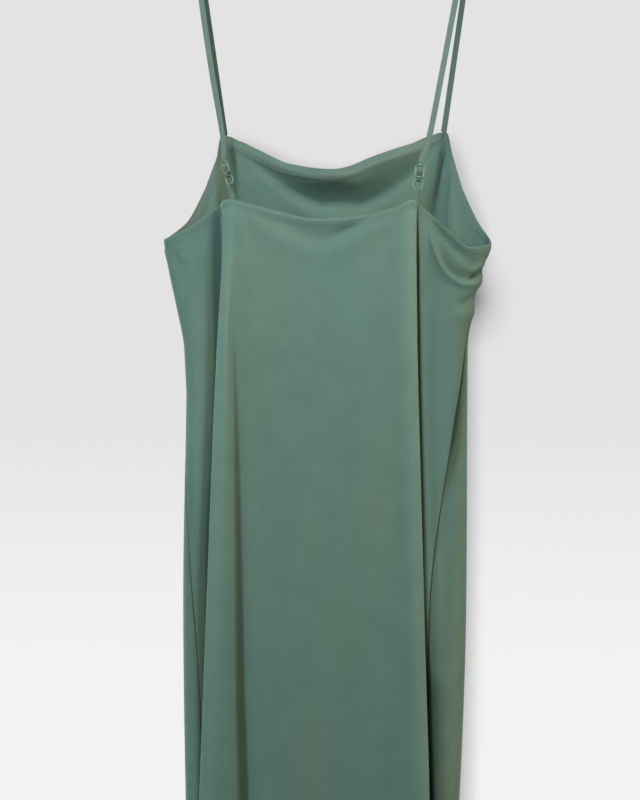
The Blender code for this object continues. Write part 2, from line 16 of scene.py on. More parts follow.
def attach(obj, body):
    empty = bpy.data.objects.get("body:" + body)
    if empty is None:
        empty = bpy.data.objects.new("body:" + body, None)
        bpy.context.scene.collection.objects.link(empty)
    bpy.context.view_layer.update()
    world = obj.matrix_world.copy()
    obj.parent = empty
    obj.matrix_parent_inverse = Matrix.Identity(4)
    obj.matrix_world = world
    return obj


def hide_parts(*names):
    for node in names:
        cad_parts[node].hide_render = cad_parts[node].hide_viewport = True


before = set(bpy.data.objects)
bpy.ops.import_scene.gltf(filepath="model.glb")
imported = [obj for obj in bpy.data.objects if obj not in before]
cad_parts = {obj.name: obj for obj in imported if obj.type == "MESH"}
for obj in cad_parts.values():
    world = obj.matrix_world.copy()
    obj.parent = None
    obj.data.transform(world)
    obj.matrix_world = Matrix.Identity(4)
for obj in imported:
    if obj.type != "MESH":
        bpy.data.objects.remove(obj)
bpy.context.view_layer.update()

MM = 0.001

# ---- cloth ----
CLOTH = 1.2 * MM                # wall of the jersey
BAND = 1.0 * MM                 # wall of the narrow bands inside the edges
GAP = 0.3 * MM                  # between pieces at a seam
DRESS_X = -4 * MM               # the dress hangs a little off the hanger's middle
X_LEVELS = np.array([0.486, 0.607, 0.913, 1.463])   # depths below the rail: bust, waist, hip, hem
Y_LEVELS = np.array([0.400, 0.607, 1.463])          # chest, waist, hem
HEM = -X_LEVELS[-1]
NECK_BAND = 14 * MM
ARM_BAND = 10 * MM
STEEPEST = 2.6                  # a band reaches down at most this many of its widths
HEM_TURN = 22 * MM              # the hem is turned up this far and stitched
SEAM_ALLOWANCE = 5 * MM         # overlocked edge inside a side seam
HEM_PLY = 0.8 * MM              # how much thicker the wall is in the turned-up hem
ALLOWANCE_PLY = 0.7 * MM        # and at the seam allowances
ROWS = 216                      # rows of points down a panel
CROWDING = 1.35                 # above 1, they are closer together near the top
COLUMN_WIDTH = 3.2 * MM
COLUMN_LEVEL = -0.6             # the height at which that is measured
FEWEST_COLUMNS = 8              # between two rows of FOLDS
FEWEST_IN_FOLD = 14             # and within FOLD_REACH rows of a roll
MOST_COLUMNS = 19
FOLD_REACH = 0.9
SEAM_COLUMNS = (0.03, 0.07)     # rows of FOLDS from a seam to the columns beside it
BAND_COLUMNS = 12               # to a row of FOLDS
BAND_ROWS = 15
BAND_CLEAR = 0.12               # rows of FOLDS between a band's end and the next band
BAND_CLOSER = 0.4 * MM          # a band's inner edge lies this much closer to the panel
BAND_THINNER = 0.7 * MM         # and is this much thinner
BAND_FEATHER = (0.35, 1.0)      # between these parts of the band's depth
STITCH_PITCH = 3.4 * MM
STITCH_LONG = 2.5 * MM
STITCH_RADIUS = 0.36 * MM
# Along a stitch, as parts of its length from the middle, and its thickness there.
STITCH_FORM = ((-0.5, 0.45), (-0.3, 1.0), (0.3, 1.0), (0.5, 0.45))
HEM_ROWS = (HEM_TURN - 3 * MM, HEM_TURN - 8 * MM)   # heights of the stitches above the hem
EDGE_ROW_END = 0.25             # rows of FOLDS between a stretch's end and its stitches
HEM_ROW_END = 0.1

# One row for each fold line, in millimetres: the height of the cloth's top edge on that line,
# the places across at the bust, waist, hip and hem, and the depths at the chest, waist and hem.
Fold = namedtuple("Fold", "name top x_bust x_waist x_hip x_hem y_chest y_waist y_hem")
BACK_FOLDS = (
    Fold("left side", -471, -209, -180, -184, -173, 1, 1, 2),
    Fold("left side swell", -461, -178, -167, -175, -169, -15, -17, -18),
    Fold("left side slope", -446, -153, -150, -161, -160, -20, -23, -24),
    Fold("left valley", -436, -137, -136, -147, -149, -23, -23, -22),
    Fold("left under fold", -430, -129, -128, -134, -138, -26, -27, -27),
    Fold("left fold edge", -426, -124, -130, -142, -163, -33, -39, -39),
    Fold("left fold crest", -424, -112, -120, -130, -146, -37, -46, -48),
    Fold("left soft crease", -429, -98, -101, -97, -104, -36, -44, -42),
    Fold("back left", -441, -52, -54, -54, -58, -36, -46, -48),
    Fold("back middle", -449, -2, -3, -4, -4, -36, -45, -45),
    Fold("back right", -447, 50, 50, 50, 52, -36, -46, -49),
    Fold("right soft crease", -438, 90, 88, 92, 96, -37, -46, -45),
    Fold("right fold crest", -428, 113, 111, 119, 128, -38, -48, -50),
    Fold("right fold edge", -429, 119, 121, 130, 141, -34, -42, -43),
    Fold("right under fold", -434, 122, 110, 115, 119, -27, -31, -31),
    Fold("right valley", -445, 133, 123, 130, 128, -24, -24, -22),
    Fold("right side slope", -465, 154, 145, 145, 136, -22, -24, -24),
    Fold("right side swell", -485, 180, 163, 161, 142, -16, -17, -18),
)
FRONT_FOLDS = (
    Fold("right side", -479, 202, 173, 171, 145, 1, 2, 2),
    Fold("front right side swell", -452, 182, 165, 163, 141, 17, 20, 20),
    Fold("front right side slope", -412, 162, 152, 149, 135, 24, 25, 26),
    Fold("front right armhole", -370, 149, 138, 138, 134, 26, 24, 22),
    Fold("front right corner", -343, 141, 126, 126, 122, 30, 30, 30),
    Fold("front right fold edge", -343, 133, 136, 144, 146, 34, 42, 42),
    Fold("front right fold crest", -347, 120, 122, 132, 138, 33, 47, 50),
    Fold("front right crease", -357, 98, 98, 102, 108, 30, 44, 44),
    Fold("front right half", -371, 55, 56, 58, 60, 26, 46, 49),
    Fold("front middle", -388, 2, 2, 2, 2, 22, 47, 50),
    Fold("front left half", -380, -55, -56, -58, -60, 26, 46, 48),
    Fold("front left crease", -361, -98, -98, -102, -106, 30, 44, 45),
    Fold("front left fold crest", -350, -120, -122, -132, -138, 33, 47, 50),
    Fold("front left fold edge", -343, -136, -136, -144, -152, 34, 42, 42),
    Fold("front left corner", -343, -144, -126, -128, -126, 30, 30, 30),
    Fold("front left armhole", -370, -149, -140, -144, -143, 26, 24, 22),
    Fold("front left side slope", -408, -163, -156, -162, -158, 24, 25, 26),
    Fold("front left side swell", -450, -185, -170, -175, -168, 17, 18, 18),
)
FOLDS = BACK_FOLDS + FRONT_FOLDS
COUNT = len(FOLDS)
LEFT_SIDE = COUNT
RIGHT_SIDE = len(BACK_FOLDS)
TOPS = np.array([fold.top for fold in FOLDS]) * MM
ACROSS = np.array([[fold.x_bust, fold.x_waist, fold.x_hip, fold.x_hem] for fold in FOLDS]) * MM
DEPTHS = np.array([[fold.y_chest, fold.y_waist, fold.y_hem] for fold in FOLDS]) * MM


def row_of(name):
    """Number of the row of FOLDS with this name."""
    return [fold.name for fold in FOLDS].index(name)


BACK_CORNERS = (row_of("left fold crest"), row_of("right fold crest") + 1 / 3)
FRONT_CORNERS = (row_of("front right fold edge") - 0.5, row_of("front left fold edge") + 0.5)

# Each side seam leaves the side on its way down and swings to the back: height in millimetres
# and how many rows of FOLDS it has moved.
LEFT_SEAM = ((-720, 0.0), (-840, 1.1), (-940, 1.8), (-1060, 2.4), (-1463, 3.5))
RIGHT_SEAM = ((-570, 0.0), (-670, 0.8), (-790, 1.9), (-920, 2.9), (-1463, 3.6))
ROW_FADE = 0.4                  # rows of FOLDS over which a stretch of lines ends
SEAM_REACH = 6                  # rows of FOLDS over which a panel takes up its seam's swing

# Stretches of the top edge between two corners, and how far down their stitches run.
EDGE_STRETCHES = (
    (BACK_CORNERS[0], BACK_CORNERS[1], 2.6 * MM),
    (BACK_CORNERS[1], FRONT_CORNERS[0], 7.5 * MM),
    (FRONT_CORNERS[0], FRONT_CORNERS[1], 10 * MM),
    (FRONT_CORNERS[1], COUNT + BACK_CORNERS[0], 7.5 * MM),
)
# The band inside each of these stretches, and where it shows over its edge: line, half the
# stretch in lines, and how far it stands up.
BANDS = (
    ("back_neck_band", NECK_BAND, ((7.6, 0.7, 1.3 * MM), (10.4, 1.0, 1.2 * MM))),
    ("armhole_band_right", ARM_BAND, ((13.6, 1.5, 0.8 * MM),)),
    ("front_neck_band", NECK_BAND, ((25.0, 0.8, 0.8 * MM), (29.0, 1.0, 0.9 * MM))),
    ("armhole_band_left", ARM_BAND, ((COUNT + 1.5, 1.2, 0.8 * MM),)),
)

# How far the cloth is pushed out (above 0) or in along a line of FOLDS, to tighten the two long
# folds: the line, half the width in lines, and then heights with the push there in millimetres.
Roll = namedtuple("Roll", "name line width points")
ROLLS = (
    Roll("left rim", 5.32, 0.42, ((-450, 0), (-500, 0.2), (-560, 0.9), (-650, 1.8), (-800, 2.2),
                                  (-1463, 2.4))),
    Roll("left tuck", 4.50, 0.35, ((-450, 0), (-500, -0.4), (-560, -1.4), (-700, -2.4),
                                   (-1463, -2.6))),
    Roll("left valley", 3.15, 0.9, ((-436, -1.0), (-480, -5.0), (-560, -8.0), (-680, -9.5),
                                    (-860, -10.5), (-1463, -10))),
    Roll("right rim", 12.65, 0.40, ((-430, 0), (-470, 0.5), (-540, 0.8), (-700, 0.3),
                                    (-850, -0.8), (-960, -0.6), (-1060, 1.2), (-1130, 2.4),
                                    (-1463, 3.0))),
    Roll("right tuck", 13.45, 0.35, ((-430, -0.5), (-460, -3.0), (-560, -4.0), (-1463, -4.0))),
    Roll("right valley", 14.35, 0.5, ((-436, 0.6), (-470, 2.4), (-560, 3.0), (-760, 2.4),
                                      (-900, 0.5), (-1100, -2.0), (-1463, -3.0))),
)

# Soft troughs and ridges of the cloth, in millimetres. rows are the lines of FOLDS they lie
# between. Each point gives the place across, the height, how far the cloth stands out there (below
# 0 for a trough) and the half-width of the crease. Its side on the right of the way along the
# points is right_side times as wide as the left one.
MIDDLE_ROWS = (5.9, 12.2)
LEFT_ROWS = (-1.0, 2.8)
SIDE_ROWS = (-1.6, 1.6)
RIGHT_ROWS = (14.8, 19.0)
FRONT_ROWS = (18.3, 35.7)
CREASE_STEPS = 6                # between two of its points
CREASE_REACH = 3                # half-widths at which it has died away
Crease = namedtuple("Crease", "name rows points right_side", defaults=[1.0])
CREASES = (
    # under the back neckline
    Crease("hammock under the back neckline", MIDDLE_ROWS, (
        (-84, -440, 0, 5), (-50, -452, -0.6, 6), (-22, -463, -1.4, 7), (2, -467, -2.0, 7),
        (22, -463, -2.2, 5.5), (44, -454, -1.7, 4), (70, -446, -1.1, 3),
        (90, -440, 0, 3)), right_side=1.6),
    Crease("lip of the back neckline", MIDDLE_ROWS, (
        (-98, -437, 0, 6), (-50, -447, 0.9, 6), (5, -455, 1.4, 7), (50, -452, 0.9, 6),
        (92, -440, 0, 5))),
    Crease("right arm of the hammock", MIDDLE_ROWS, (
        (106, -436, 0, 8), (86, -453, 1.1, 9), (64, -468, 1.5, 10), (34, -484, 1.4, 12),
        (-4, -494, 0.8, 13), (-34, -494, 0, 13))),
    Crease("left arm of the hammock", MIDDLE_ROWS, (
        (-106, -436, 0, 8), (-82, -452, 1.1, 9), (-56, -470, 1.4, 11), (-26, -486, 1.2, 12),
        (0, -494, 0, 13))),

    # the left fold
    Crease("long crease beside the left fold", MIDDLE_ROWS, (
        (-110, -455, 0, 3), (-109, -560, -1.0, 4), (-105, -690, -1.9, 5), (-102, -860, -3.1, 7),
        (-100, -1020, -4.0, 8), (-96, -1130, -4.6, 9), (-92, -1300, -4.8, 10),
        (-89, -1463, -4.8, 11)), right_side=1.1),
    Crease("ridge beside the long crease", MIDDLE_ROWS, (
        (-106, -437, 0.6, 6), (-96, -480, 1.3, 8), (-88, -530, 1.8, 9), (-88, -620, 1.5, 9),
        (-91, -720, 1.0, 9), (-88, -900, 1.0, 9), (-82, -1100, 1.0, 9), (-76, -1463, 1, 9))),
    Crease("swell left of the long crease", MIDDLE_ROWS, (
        (-116, -440, 0.4, 5), (-117, -600, 0.8, 5), (-116, -800, 1.0, 6), (-118, -1000, 1.2, 7),
        (-118, -1200, 1.2, 8), (-116, -1463, 1.2, 8))),

    # the right fold
    Crease("flat left of the right rim", MIDDLE_ROWS, (
        (104, -470, 0, 5), (106, -560, -0.5, 5), (108, -760, -0.6, 6), (112, -960, -0.7, 7),
        (118, -1250, -0.8, 8), (122, -1463, -0.8, 8))),

    # the right side
    Crease("sagging lip of the right armhole", RIGHT_ROWS, (
        (121, -437, 0.5, 5), (127, -455, 2.2, 6), (134, -476, 4.2, 6), (145, -503, 6.0, 6),
        (158, -520, 6.2, 6), (172, -528, 5.0, 6), (184, -528, 2.2, 6),
        (203, -522, -2.0, 5)), right_side=0.8),
    Crease("cup under the right armhole", RIGHT_ROWS, (
        (128, -447, 0, 5), (141, -464, -3.0, 7), (155, -481, -6.2, 9), (169, -494, -7.2, 10),
        (184, -501, -5.6, 9), (198, -502, -2.4, 8), (208, -496, 0, 7)), right_side=1.2),
    Crease("pinch above the lip's end", RIGHT_ROWS, (
        (170, -527, 0, 3), (183, -520, -3.2, 3), (194, -513, -3.2, 3), (206, -505, -1.0, 3.4))),
    Crease("second pinch under the lip", RIGHT_ROWS, (
        (160, -555, 0, 4), (172, -551, -2.2, 4.5), (183, -543, -3.0, 4.5),
        (194, -533, -3.0, 4.5)), right_side=1.6),
    Crease("swell under the second pinch", RIGHT_ROWS, (
        (156, -566, 0, 6), (170, -566, 1.6, 7), (184, -562, 2.0, 8), (196, -556, 1.6, 8))),
    Crease("crease right of the right seam", RIGHT_ROWS, (
        (164, -640, 0, 4), (160, -720, -2.0, 4.5), (155, -790, -2.2, 5), (150, -860, -1.0, 5),
        (149, -900, 0, 5))),
    Crease("ridge right of the right seam", RIGHT_ROWS, (
        (146, -780, 0, 5), (143, -850, 1.2, 5), (142, -940, 1.0, 5.5), (141, -1010, 0, 6))),

    # the left side
    Crease("pinch under the left armhole", LEFT_ROWS, (
        (-205, -479, 0, 5), (-196, -487, -1.8, 5), (-187, -496, -2.0, 5.5), (-176, -505, 0, 6))),
    Crease("fuller left side", SIDE_ROWS, (
        (-206, -500, 0, 14), (-194, -535, 3.2, 18), (-188, -572, 5.0, 20), (-184, -610, 3.0, 20),
        (-182, -660, 0, 20))),
    Crease("swell by the left pinch", LEFT_ROWS, (
        (-190, -488, 0, 4), (-180, -496, 1.4, 5), (-170, -500, 0, 6))),
    Crease("soft ridge on the left side", LEFT_ROWS, (
        (-150, -466, 0, 7), (-152, -500, 1.3, 8), (-152, -560, 1.3, 8), (-152, -610, 0, 8))),
    Crease("ridge right of the left seam", LEFT_ROWS, (
        (-176, -830, 0, 4), (-172, -900, 0.9, 5), (-167, -980, 0.9, 5), (-163, -1080, 0, 6))),

    # faint drag lines and long soft waves down the middle
    Crease("hollow at the back of the hip", MIDDLE_ROWS, (
        (48, -930, 0, 10), (50, -960, -0.5, 11), (48, -1010, -0.5, 12), (44, -1060, 0, 12))),
    Crease("faint drag line one", MIDDLE_ROWS, (
        (-19, -905, 0, 2.6), (-20, -925, 0.35, 2.6), (-21, -945, 0, 2.6))),
    Crease("faint drag line two", MIDDLE_ROWS, (
        (-14, -1030, 0, 2.6), (-15, -1070, 0.4, 3), (-19, -1110, 0, 3))),
    Crease("faint drag line three", MIDDLE_ROWS, (
        (84, -830, 0, 3), (85, -870, 0.4, 3), (84, -915, 0, 3))),
    Crease("faint drag line four", MIDDLE_ROWS, (
        (-52, -660, 0, 5), (-53, -690, -0.35, 5), (-52, -720, 0, 5))),
    Crease("long soft wave one", MIDDLE_ROWS, (
        (-60, -760, 0, 16), (-58, -1000, -0.7, 18), (-54, -1250, -1.5, 18),
        (-52, -1463, -2.2, 18))),
    Crease("long soft wave two", MIDDLE_ROWS, (
        (2, -820, 0, 18), (6, -1050, 0.8, 20), (10, -1300, 1.6, 20), (12, -1463, 2.2, 20))),
    Crease("long soft wave three", MIDDLE_ROWS, (
        (58, -860, 0, 14), (60, -1050, -0.8, 16), (64, -1300, -1.6, 16), (66, -1463, -2.2, 16))),

    # the front, whose upper part shows from inside over the back neckline
    Crease("lip of the front neckline", FRONT_ROWS, (
        (-126, -353, 0, 7), (-98, -368, -3.0, 8), (-62, -384, -7.0, 9), (-20, -394, -10, 9),
        (20, -394, -10, 9), (58, -379, -8.0, 9), (92, -368, -4.0, 8),
        (122, -356, 0, 7)), right_side=1.6),
    Crease("fall under that lip", FRONT_ROWS, (
        (-116, -364, 0, 8), (-92, -382, 4.0, 12), (-66, -400, 7.5, 15), (-40, -417, 10, 18),
        (-12, -427, 12, 20), (24, -427, 12, 20), (54, -416, 10.5, 18), (78, -401, 8.0, 15),
        (98, -385, 5.0, 12), (116, -367, 0, 8)), right_side=0.5),
    Crease("ridge below the right front corner", FRONT_ROWS, (
        (134, -352, -0.6, 5), (130, -364, -2.4, 6), (122, -412, -4.0, 7), (115, -440, -3.6, 8),
        (110, -480, 0, 9))),
    Crease("hollow beside that ridge", FRONT_ROWS, (
        (137, -358, 0, 3), (134, -380, 3.0, 4), (127, -410, 4.2, 4.5), (119, -440, 3.0, 6),
        (116, -475, 0, 6))),
    Crease("second ridge from the corner", FRONT_ROWS, (
        (139, -372, 0, 4), (137, -400, -2.6, 4.5), (133, -445, -3.4, 5.5), (131, -490, 0, 7))),
    Crease("sharp crease under the armhole", FRONT_ROWS, (
        (146, -392, 0, 2), (144, -412, 3.0, 2.4), (140, -450, 3.6, 2.8), (138, -490, 1.5, 4),
        (136, -530, 0, 5))),
    Crease("shade beside the left strap", FRONT_ROWS, (
        (-132, -345, 1.5, 4), (-130, -370, 4.5, 4.5), (-128, -400, 4.0, 5), (-127, -440, 2.0, 6),
        (-126, -480, 0, 7))),
    Crease("fold inside the left armhole", FRONT_ROWS, (
        (-143, -398, 0, 3), (-144, -418, 1.8, 3.6), (-145, -442, 2.6, 4), (-146, -470, 2.0, 5),
        (-147, -520, 0, 6))),
    Crease("front left drag", FRONT_ROWS, (
        (-104, -430, 0, 10), (-70, -472, 2.0, 12), (-24, -500, 2.2, 13), (20, -506, 1.6, 13),
        (58, -492, 0, 13))),
    Crease("front right drag", FRONT_ROWS, (
        (110, -430, 0, 9), (84, -480, 1.6, 12), (34, -526, 1.4, 14), (-20, -544, 0, 14))),
    Crease("front long fold left", FRONT_ROWS, (
        (-84, -540, 0, 10), (-86, -700, -1.6, 12), (-84, -950, -2.8, 13), (-80, -1250, -3.4, 14),
        (-78, -1463, -3.6, 14))),
    Crease("front long fold middle", FRONT_ROWS, (
        (-14, -640, 0, 14), (-18, -850, 1.0, 16), (-22, -1150, 2.0, 17), (-24, -1463, 2.8, 18))),
    Crease("front long fold right", FRONT_ROWS, (
        (78, -560, 0, 10), (74, -760, -1.5, 12), (76, -1000, -2.6, 13), (82, -1260, -3.2, 14),
        (86, -1463, -3.4, 14))),
    Crease("front pinch under the left arm", FRONT_ROWS, (
        (-204, -488, 0, 3), (-190, -500, -1.8, 3.4), (-172, -520, -1.6, 4.5), (-156, -544, 0, 6))),
    Crease("front pinch under the right arm", FRONT_ROWS, (
        (198, -490, 0, 3), (186, -506, -1.8, 3.6), (170, -528, -1.5, 5), (154, -556, 0, 6))),
)

# Small ridges and grooves along edges and seams, in millimetres: what they are measured from,
# how far away they lie, how far they stand out and their half-width.
EDGE_FORMS = (
    ("below edge", 2.5, 0.7, 3.5),      # the turned edge's roll, and the groove at its stitches
    ("below edge", 11, -0.35, 3.5),
    ("from seam", 0, -0.9, 1.6),
    ("above hem", HEM_TURN / MM, -0.3, 2),
)

# ---- painted shade and light on the cloth ----
# How far either side of a point its hollow is looked for, and the depth that counts as a full one.
SHARP_REACHES = ((7 * MM, 2.2 * MM),)
BROAD_REACHES = ((20 * MM, 9 * MM), (42 * MM, 17 * MM))
# Painted shade: the crease and valley measures darken the cloth in hollows and lighten its ridges.
CREASE_INSIDE = -0.35           # what a measure outside is worth on the cloth's inside
VALLEY_INSIDE = -0.6
SHALLOW_ROWS = (13.5, 17.0)     # the valley beside the right fold shows hardly any shade
SHALLOW_LOW = -1.1              # between these heights it comes to do so
SHALLOW_HIGH = -0.8
# Painted shade that is cool in the left fold and warm in the long crease.
LEFT_FOLD_ROWS = (2.6, 4.9)     # the left fold's shade is cool
LONG_CREASE_ROWS = (6.5, 7.3)   # and the long crease's warm, with this share of its valley
WARM_SHARE = 0.8
# How much more a measure's painted shade or light shows, as a share: in that shallow valley, and in
# the left fold.
MORE_THERE = {"crease": (-0.7, -0.65), "valley": (-0.8, 0.35), "turn": (-1.4, 0.0)}
# Painted shade in the groove of each side seam.
SEAM_SHADE = 1.8                # a hollow's worth, in the groove of a side seam
SEAM_SHADE_WIDTH = 0.9 * MM
# The painted shade beside fold edges is weaker inside a fold: where its cloth turns to the right
# between these shares, from the first of these heights down, and by how much.
FOLD_TURN = (0.6, 0.95)
FOLD_HEIGHT = (-0.50, -0.62)
FOLD_WEAKER = 0.65

# Painted shade on the cloth beside an edge that stands over it. rim gives the lines of FOLDS the
# edge lies between, or None for the right side seam, and rows the lines that the shade falls on.
# fade is how sharply it ends. Each point gives the height, the shade close to the edge (1 is nearly
# black, and below 0 is painted light) and its reach in millimetres.
Shade = namedtuple("Shade", "name rim rows fade points")
RIGHT_RIM = (12.1, 13.1)
SHADE_START = 0.25              # rows of FOLDS over which it starts and ends across the lines
SHADE_END = 0.5
SHADES = (
    Shade("line of the right fold", RIGHT_RIM, (13.1, 15.4), 2.6, (
        (-432, 0.0, 1.2), (-450, 0.55, 1.5), (-475, 1.2, 2.2), (-505, 1.5, 3.3), (-640, 1.5, 3.9),
        (-740, 1.3, 4.4), (-880, 1.1, 5.2), (-980, 1.2, 5.0), (-1100, 1.1, 5.0),
        (-1463, 1.1, 5.0))),
    Shade("wide shade under the right fold", RIGHT_RIM, (13.4, 17.2), 1.4, (
        (-900, 0.0, 8), (-960, 0.12, 14), (-1020, 0.42, 18), (-1200, 0.42, 20),
        (-1463, 0.35, 20))),
    Shade("lighter strip right of the right fold", RIGHT_RIM, (13.6, 17.4), 3.0, (
        (-470, 0.0, 30), (-560, -0.2, 30), (-700, -0.3, 30), (-820, -0.4, 28),
        (-900, -0.6, 24), (-960, -0.4, 22), (-1020, 0.0, 20))),
    Shade("shade right of the right seam", None, (15.0, 19.4), 1.3, (
        (-596, 0.0, 4), (-622, 0.7, 4), (-650, 0.75, 8), (-690, 0.75, 10), (-720, 0.70, 10),
        (-745, 0.52, 11), (-770, 0.40, 10), (-800, 0.26, 9), (-850, 0.08, 8), (-880, 0.0, 8))),
)
# Painted shade along lines of its own. A point's third number is how dark it is, and below 0 it is
# painted light.
SHADE_LINES = (
    Crease("light along the lip of the cup", RIGHT_ROWS, (
        (133, -468, 0, 4), (139, -500, -0.4, 5.5), (154, -520, -0.5, 5.5), (169, -529, -0.5, 5.5),
        (187, -527, 0, 4)), right_side=0.8),
    Crease("shade inside the lip of the cup", RIGHT_ROWS, (
        (141, -470, 0, 6), (147, -488, 0.20, 8), (155, -505, 0.30, 9.5), (167, -515, 0.33, 9),
        (181, -518, 0.30, 7), (193, -512, 0.36, 4), (204, -505, 0.1, 2.5)), right_side=0.8),
)
# Height, and how far left of its furthest point the right fold's rim starts its shade.
SET_BACK = ((-432, 0.8), (-475, 1.2), (-560, 3.0), (-640, 3.8), (-880, 4.2), (-980, 4.8),
            (-1100, 5.5), (-1463, 5.3))

# ---- sizes of the straps and fittings ----
STRAP_WIDTH = 7 * MM
STRAP_THICK = 1.2 * MM
TAB_WIDTH = 7.5 * MM
TAB_THICK = 0.8 * MM
LOOP_WIDTH = 5.0 * MM           # strap and tab where they bunch up inside the ring
STUB = 2 * MM
STRAP_SLACK = 0.55 * MM
TAB_SLACK = 0.9 * MM
LEG_GAP = 0.8 * MM
BELOW_SLIDER = 1.2 * MM         # where the strap comes out under the slider, and over it
ABOVE_SLIDER = 4 * MM
RING_RADIUS = 6.0 * MM
RING_WIRE = 0.85 * MM
SLIDER_WIDTH = 12 * MM
SLIDER_HEIGHT = 16.5 * MM
SLIDER_THICK = 1.5 * MM
SLIDER_EDGE = 1.5 * MM
SLIDER_BEVEL = 0.5 * MM
SLIDER_CORNER = 4.8 * MM
SLOT_CORNER = 3.0 * MM
SLIDER_RISE = 16.4 * MM
SLIDER_FORWARD = 2.8 * MM
RING_Y = -0.0370
FRONT_STRAP_Y = 0.0325
WEAVE = 1.75 * MM               # how far the strap swings to either side of the slider
FRONT_STEPS = 30                # stations of its leg at the front
BACK_STEPS = 14                 # and between two places of its leg at the back
TURN_STEPS = 16                 # and round a ring, or past half of the slider
RIBBON_POINTS = 16              # points round a strap's section
RIBBON_END = 0.75               # width of a strap's or tab's end, as a part of the rest
UNDERSIDE = 0.02                # its underside's cloth coordinates start this much further
FITTING_REACH = 12 * MM         # shade by the fittings ends this far from the ring's middle
# Each side in metres: the ring's middle and how it is turned and leans, the tab's foot, the
# strap's foot at the front and its place on the hanger, the painted shade on that leg, and (x, z)
# places of the strap's leg at the back, up to the hanger.
Side = namedtuple("Side", "name ring_x ring_z turn lean corner_x front_x front_top front_shade"
                          " back_leg")
SIDES = (
    Side("left", -0.1190, -0.4010, radians(-32), radians(-18), -0.1150, -0.144, -0.1700, 0.45,
         ((-0.1300, -0.3440), (-0.1458, -0.2660), (-0.1595, -0.1900), (-0.1700, None))),
    Side("right", 0.1160, -0.4095, radians(6), radians(9), 0.1130, 0.133, 0.1715, 0.0,
         ((0.1300, -0.3490), (0.1444, -0.2660), (0.1570, -0.1900), (0.1690, None))),
)
# Painted shade on straps and tabs by their fittings: height above the ring's middle, reach,
# strength.
FITTING_SHADES = ((1 * MM, 3.8 * MM, 0.55), (8.3 * MM, 1.6 * MM, 0.5), (16.4 * MM, 1.2 * MM, 0.2),
                  (25 * MM, 1.5 * MM, 0.45))
# The strap's end behind the slider's middle bar: millimetres behind the other leg, and the drop
# below the bar as a part of the way to the next one.
TUCK = ((2.1, 0.8), (1.7, 0.5), (0.6, 0.15), (0.1, -0.15))
# Places along a tab's leg, from its foot: part of the way down to the edge, part of the way over to
# the ring, and how far the legs stand apart, in thicknesses.
TabPoint = namedtuple("TabPoint", "down moved apart")
TAB_LEG = (TabPoint(1.0, 0.0, 0.70), TabPoint(0.85, 0.0, 0.70), TabPoint(0.6, 0.5, 0.90),
           TabPoint(0.35, 0.8, 1.2))

# ---- sizes of the hanger ----
ARM_REACH = 205 * MM
ARM_DEPTH = 12 * MM
ARM_EDGE = 3.2 * MM
ARM_TALL = 24 * MM
ARM_TIP = 15 * MM
NECK_TOP = -62 * MM
ARM_SLOPE = 0.315
ARM_BEND = 12 * MM
NOTCH_X = 170 * MM
NOTCH_TOP = -120 * MM
NOTCH_LENGTH = 15 * MM
HOOK_WIRE = 1.8 * MM
HOOK_INSIDE = 20 * MM
HOOK_START = radians(-62)
HOOK_END = radians(205)
STEM_SUNK = 12 * MM
# The stem's bend into the arc: part of the way over to the arc's start, and millimetres below it.
HOOK_BEND = ((0, 9), (0.12, 6), (0.5, 2.6))

# ---- finishes ----
SAGE = ((0.101, 0.189, 0.149), (0.121, 0.223, 0.178))           # darkest and lightest
STRAP_SAGE = ((0.107, 0.178, 0.143), (0.129, 0.209, 0.171))
THREAD_SAGE = ((0.17, 0.27, 0.215), (0.24, 0.36, 0.29))
LACQUER = ((0.145, 0.262, 0.212), (0.190, 0.325, 0.268))
STEEL = ((0.58, 0.58, 0.57), (0.74, 0.74, 0.73))
BEECH = ((0.50, 0.33, 0.18), (0.72, 0.54, 0.35))
FLOOR_GREY = ((0.27, 0.27, 0.27), (0.30, 0.30, 0.30))
SHEEN = 0.25
CLOTH_RELIEF = 0.25             # strength of the knit's relief on the dress, and on its trim
TRIM_RELIEF = 0.35
KNIT_WALES = 180.0              # waves to the metre
YARN_STRETCH = (900, 160, 1)
DRIFT_STRETCH = (11, 2.2, 1)
STREAK_STRETCH = (420, 14, 1)
GRAIN_STRETCH = (6, 60, 60)
PORE_STRETCH = (160, 1500, 1500)
TEAL_CAST = (0.93, 1.0, 1.05)
OLIVE_CAST = (1.04, 1.0, 0.95)
# Painted shade and light by the cloth's measures: painted warm or cool light by which way it turns,
# painted shade in creases and valleys with painted highlights on ridges, and painted shadow and
# light beside fold edges. Each gives the measure, its full value, and (place, colour) stops that
# run from the full value below 0 to the full value above 0.
PAINTED_SHADE_TINTS = (
    ("turn", 1, ((0.15, (0.87, 0.98, 1.03)), (0.85, (1.08, 1.0, 0.90)), (0.5, (1, 1, 1)))),
    ("crease", 2, ((0.0, (1.16, 1.14, 1.12)), (0.9, (0.44, 0.41, 0.27)), (0.40, (1, 1, 1)),
                   (0.54, (1, 1, 1)))),
    ("valley", 2, ((0.0, (1.24, 1.22, 1.22)), (1.0, (0.31, 0.40, 0.45)), (0.45, (1, 1, 1)),
                   (0.52, (1, 1, 1)))),
    ("shade", 1, ((0.0, (1.7, 1.65, 1.6)), (1.0, (0.003, 0.016, 0.009)), (0.50, (1, 1, 1)),
                  (0.65, (0.54, 0.58, 0.50)), (0.825, (0.12, 0.18, 0.13)))),
)

# ---- room, lights and camera ----
FLOOR = -1.62
FLOOR_SIZE = 12
WALL_SIZE = 2.4
WALL_MIDDLE = (0, 0.062, -0.5)
WALL_LOW = -0.52                # from its middle: the wall is lightest below this
WALL_HIGH = -0.12               # and darkest above this
WALL_LIGHT = (0.888, 0.888, 0.888)
WALL_SHADE = (0.767, 0.767, 0.767)
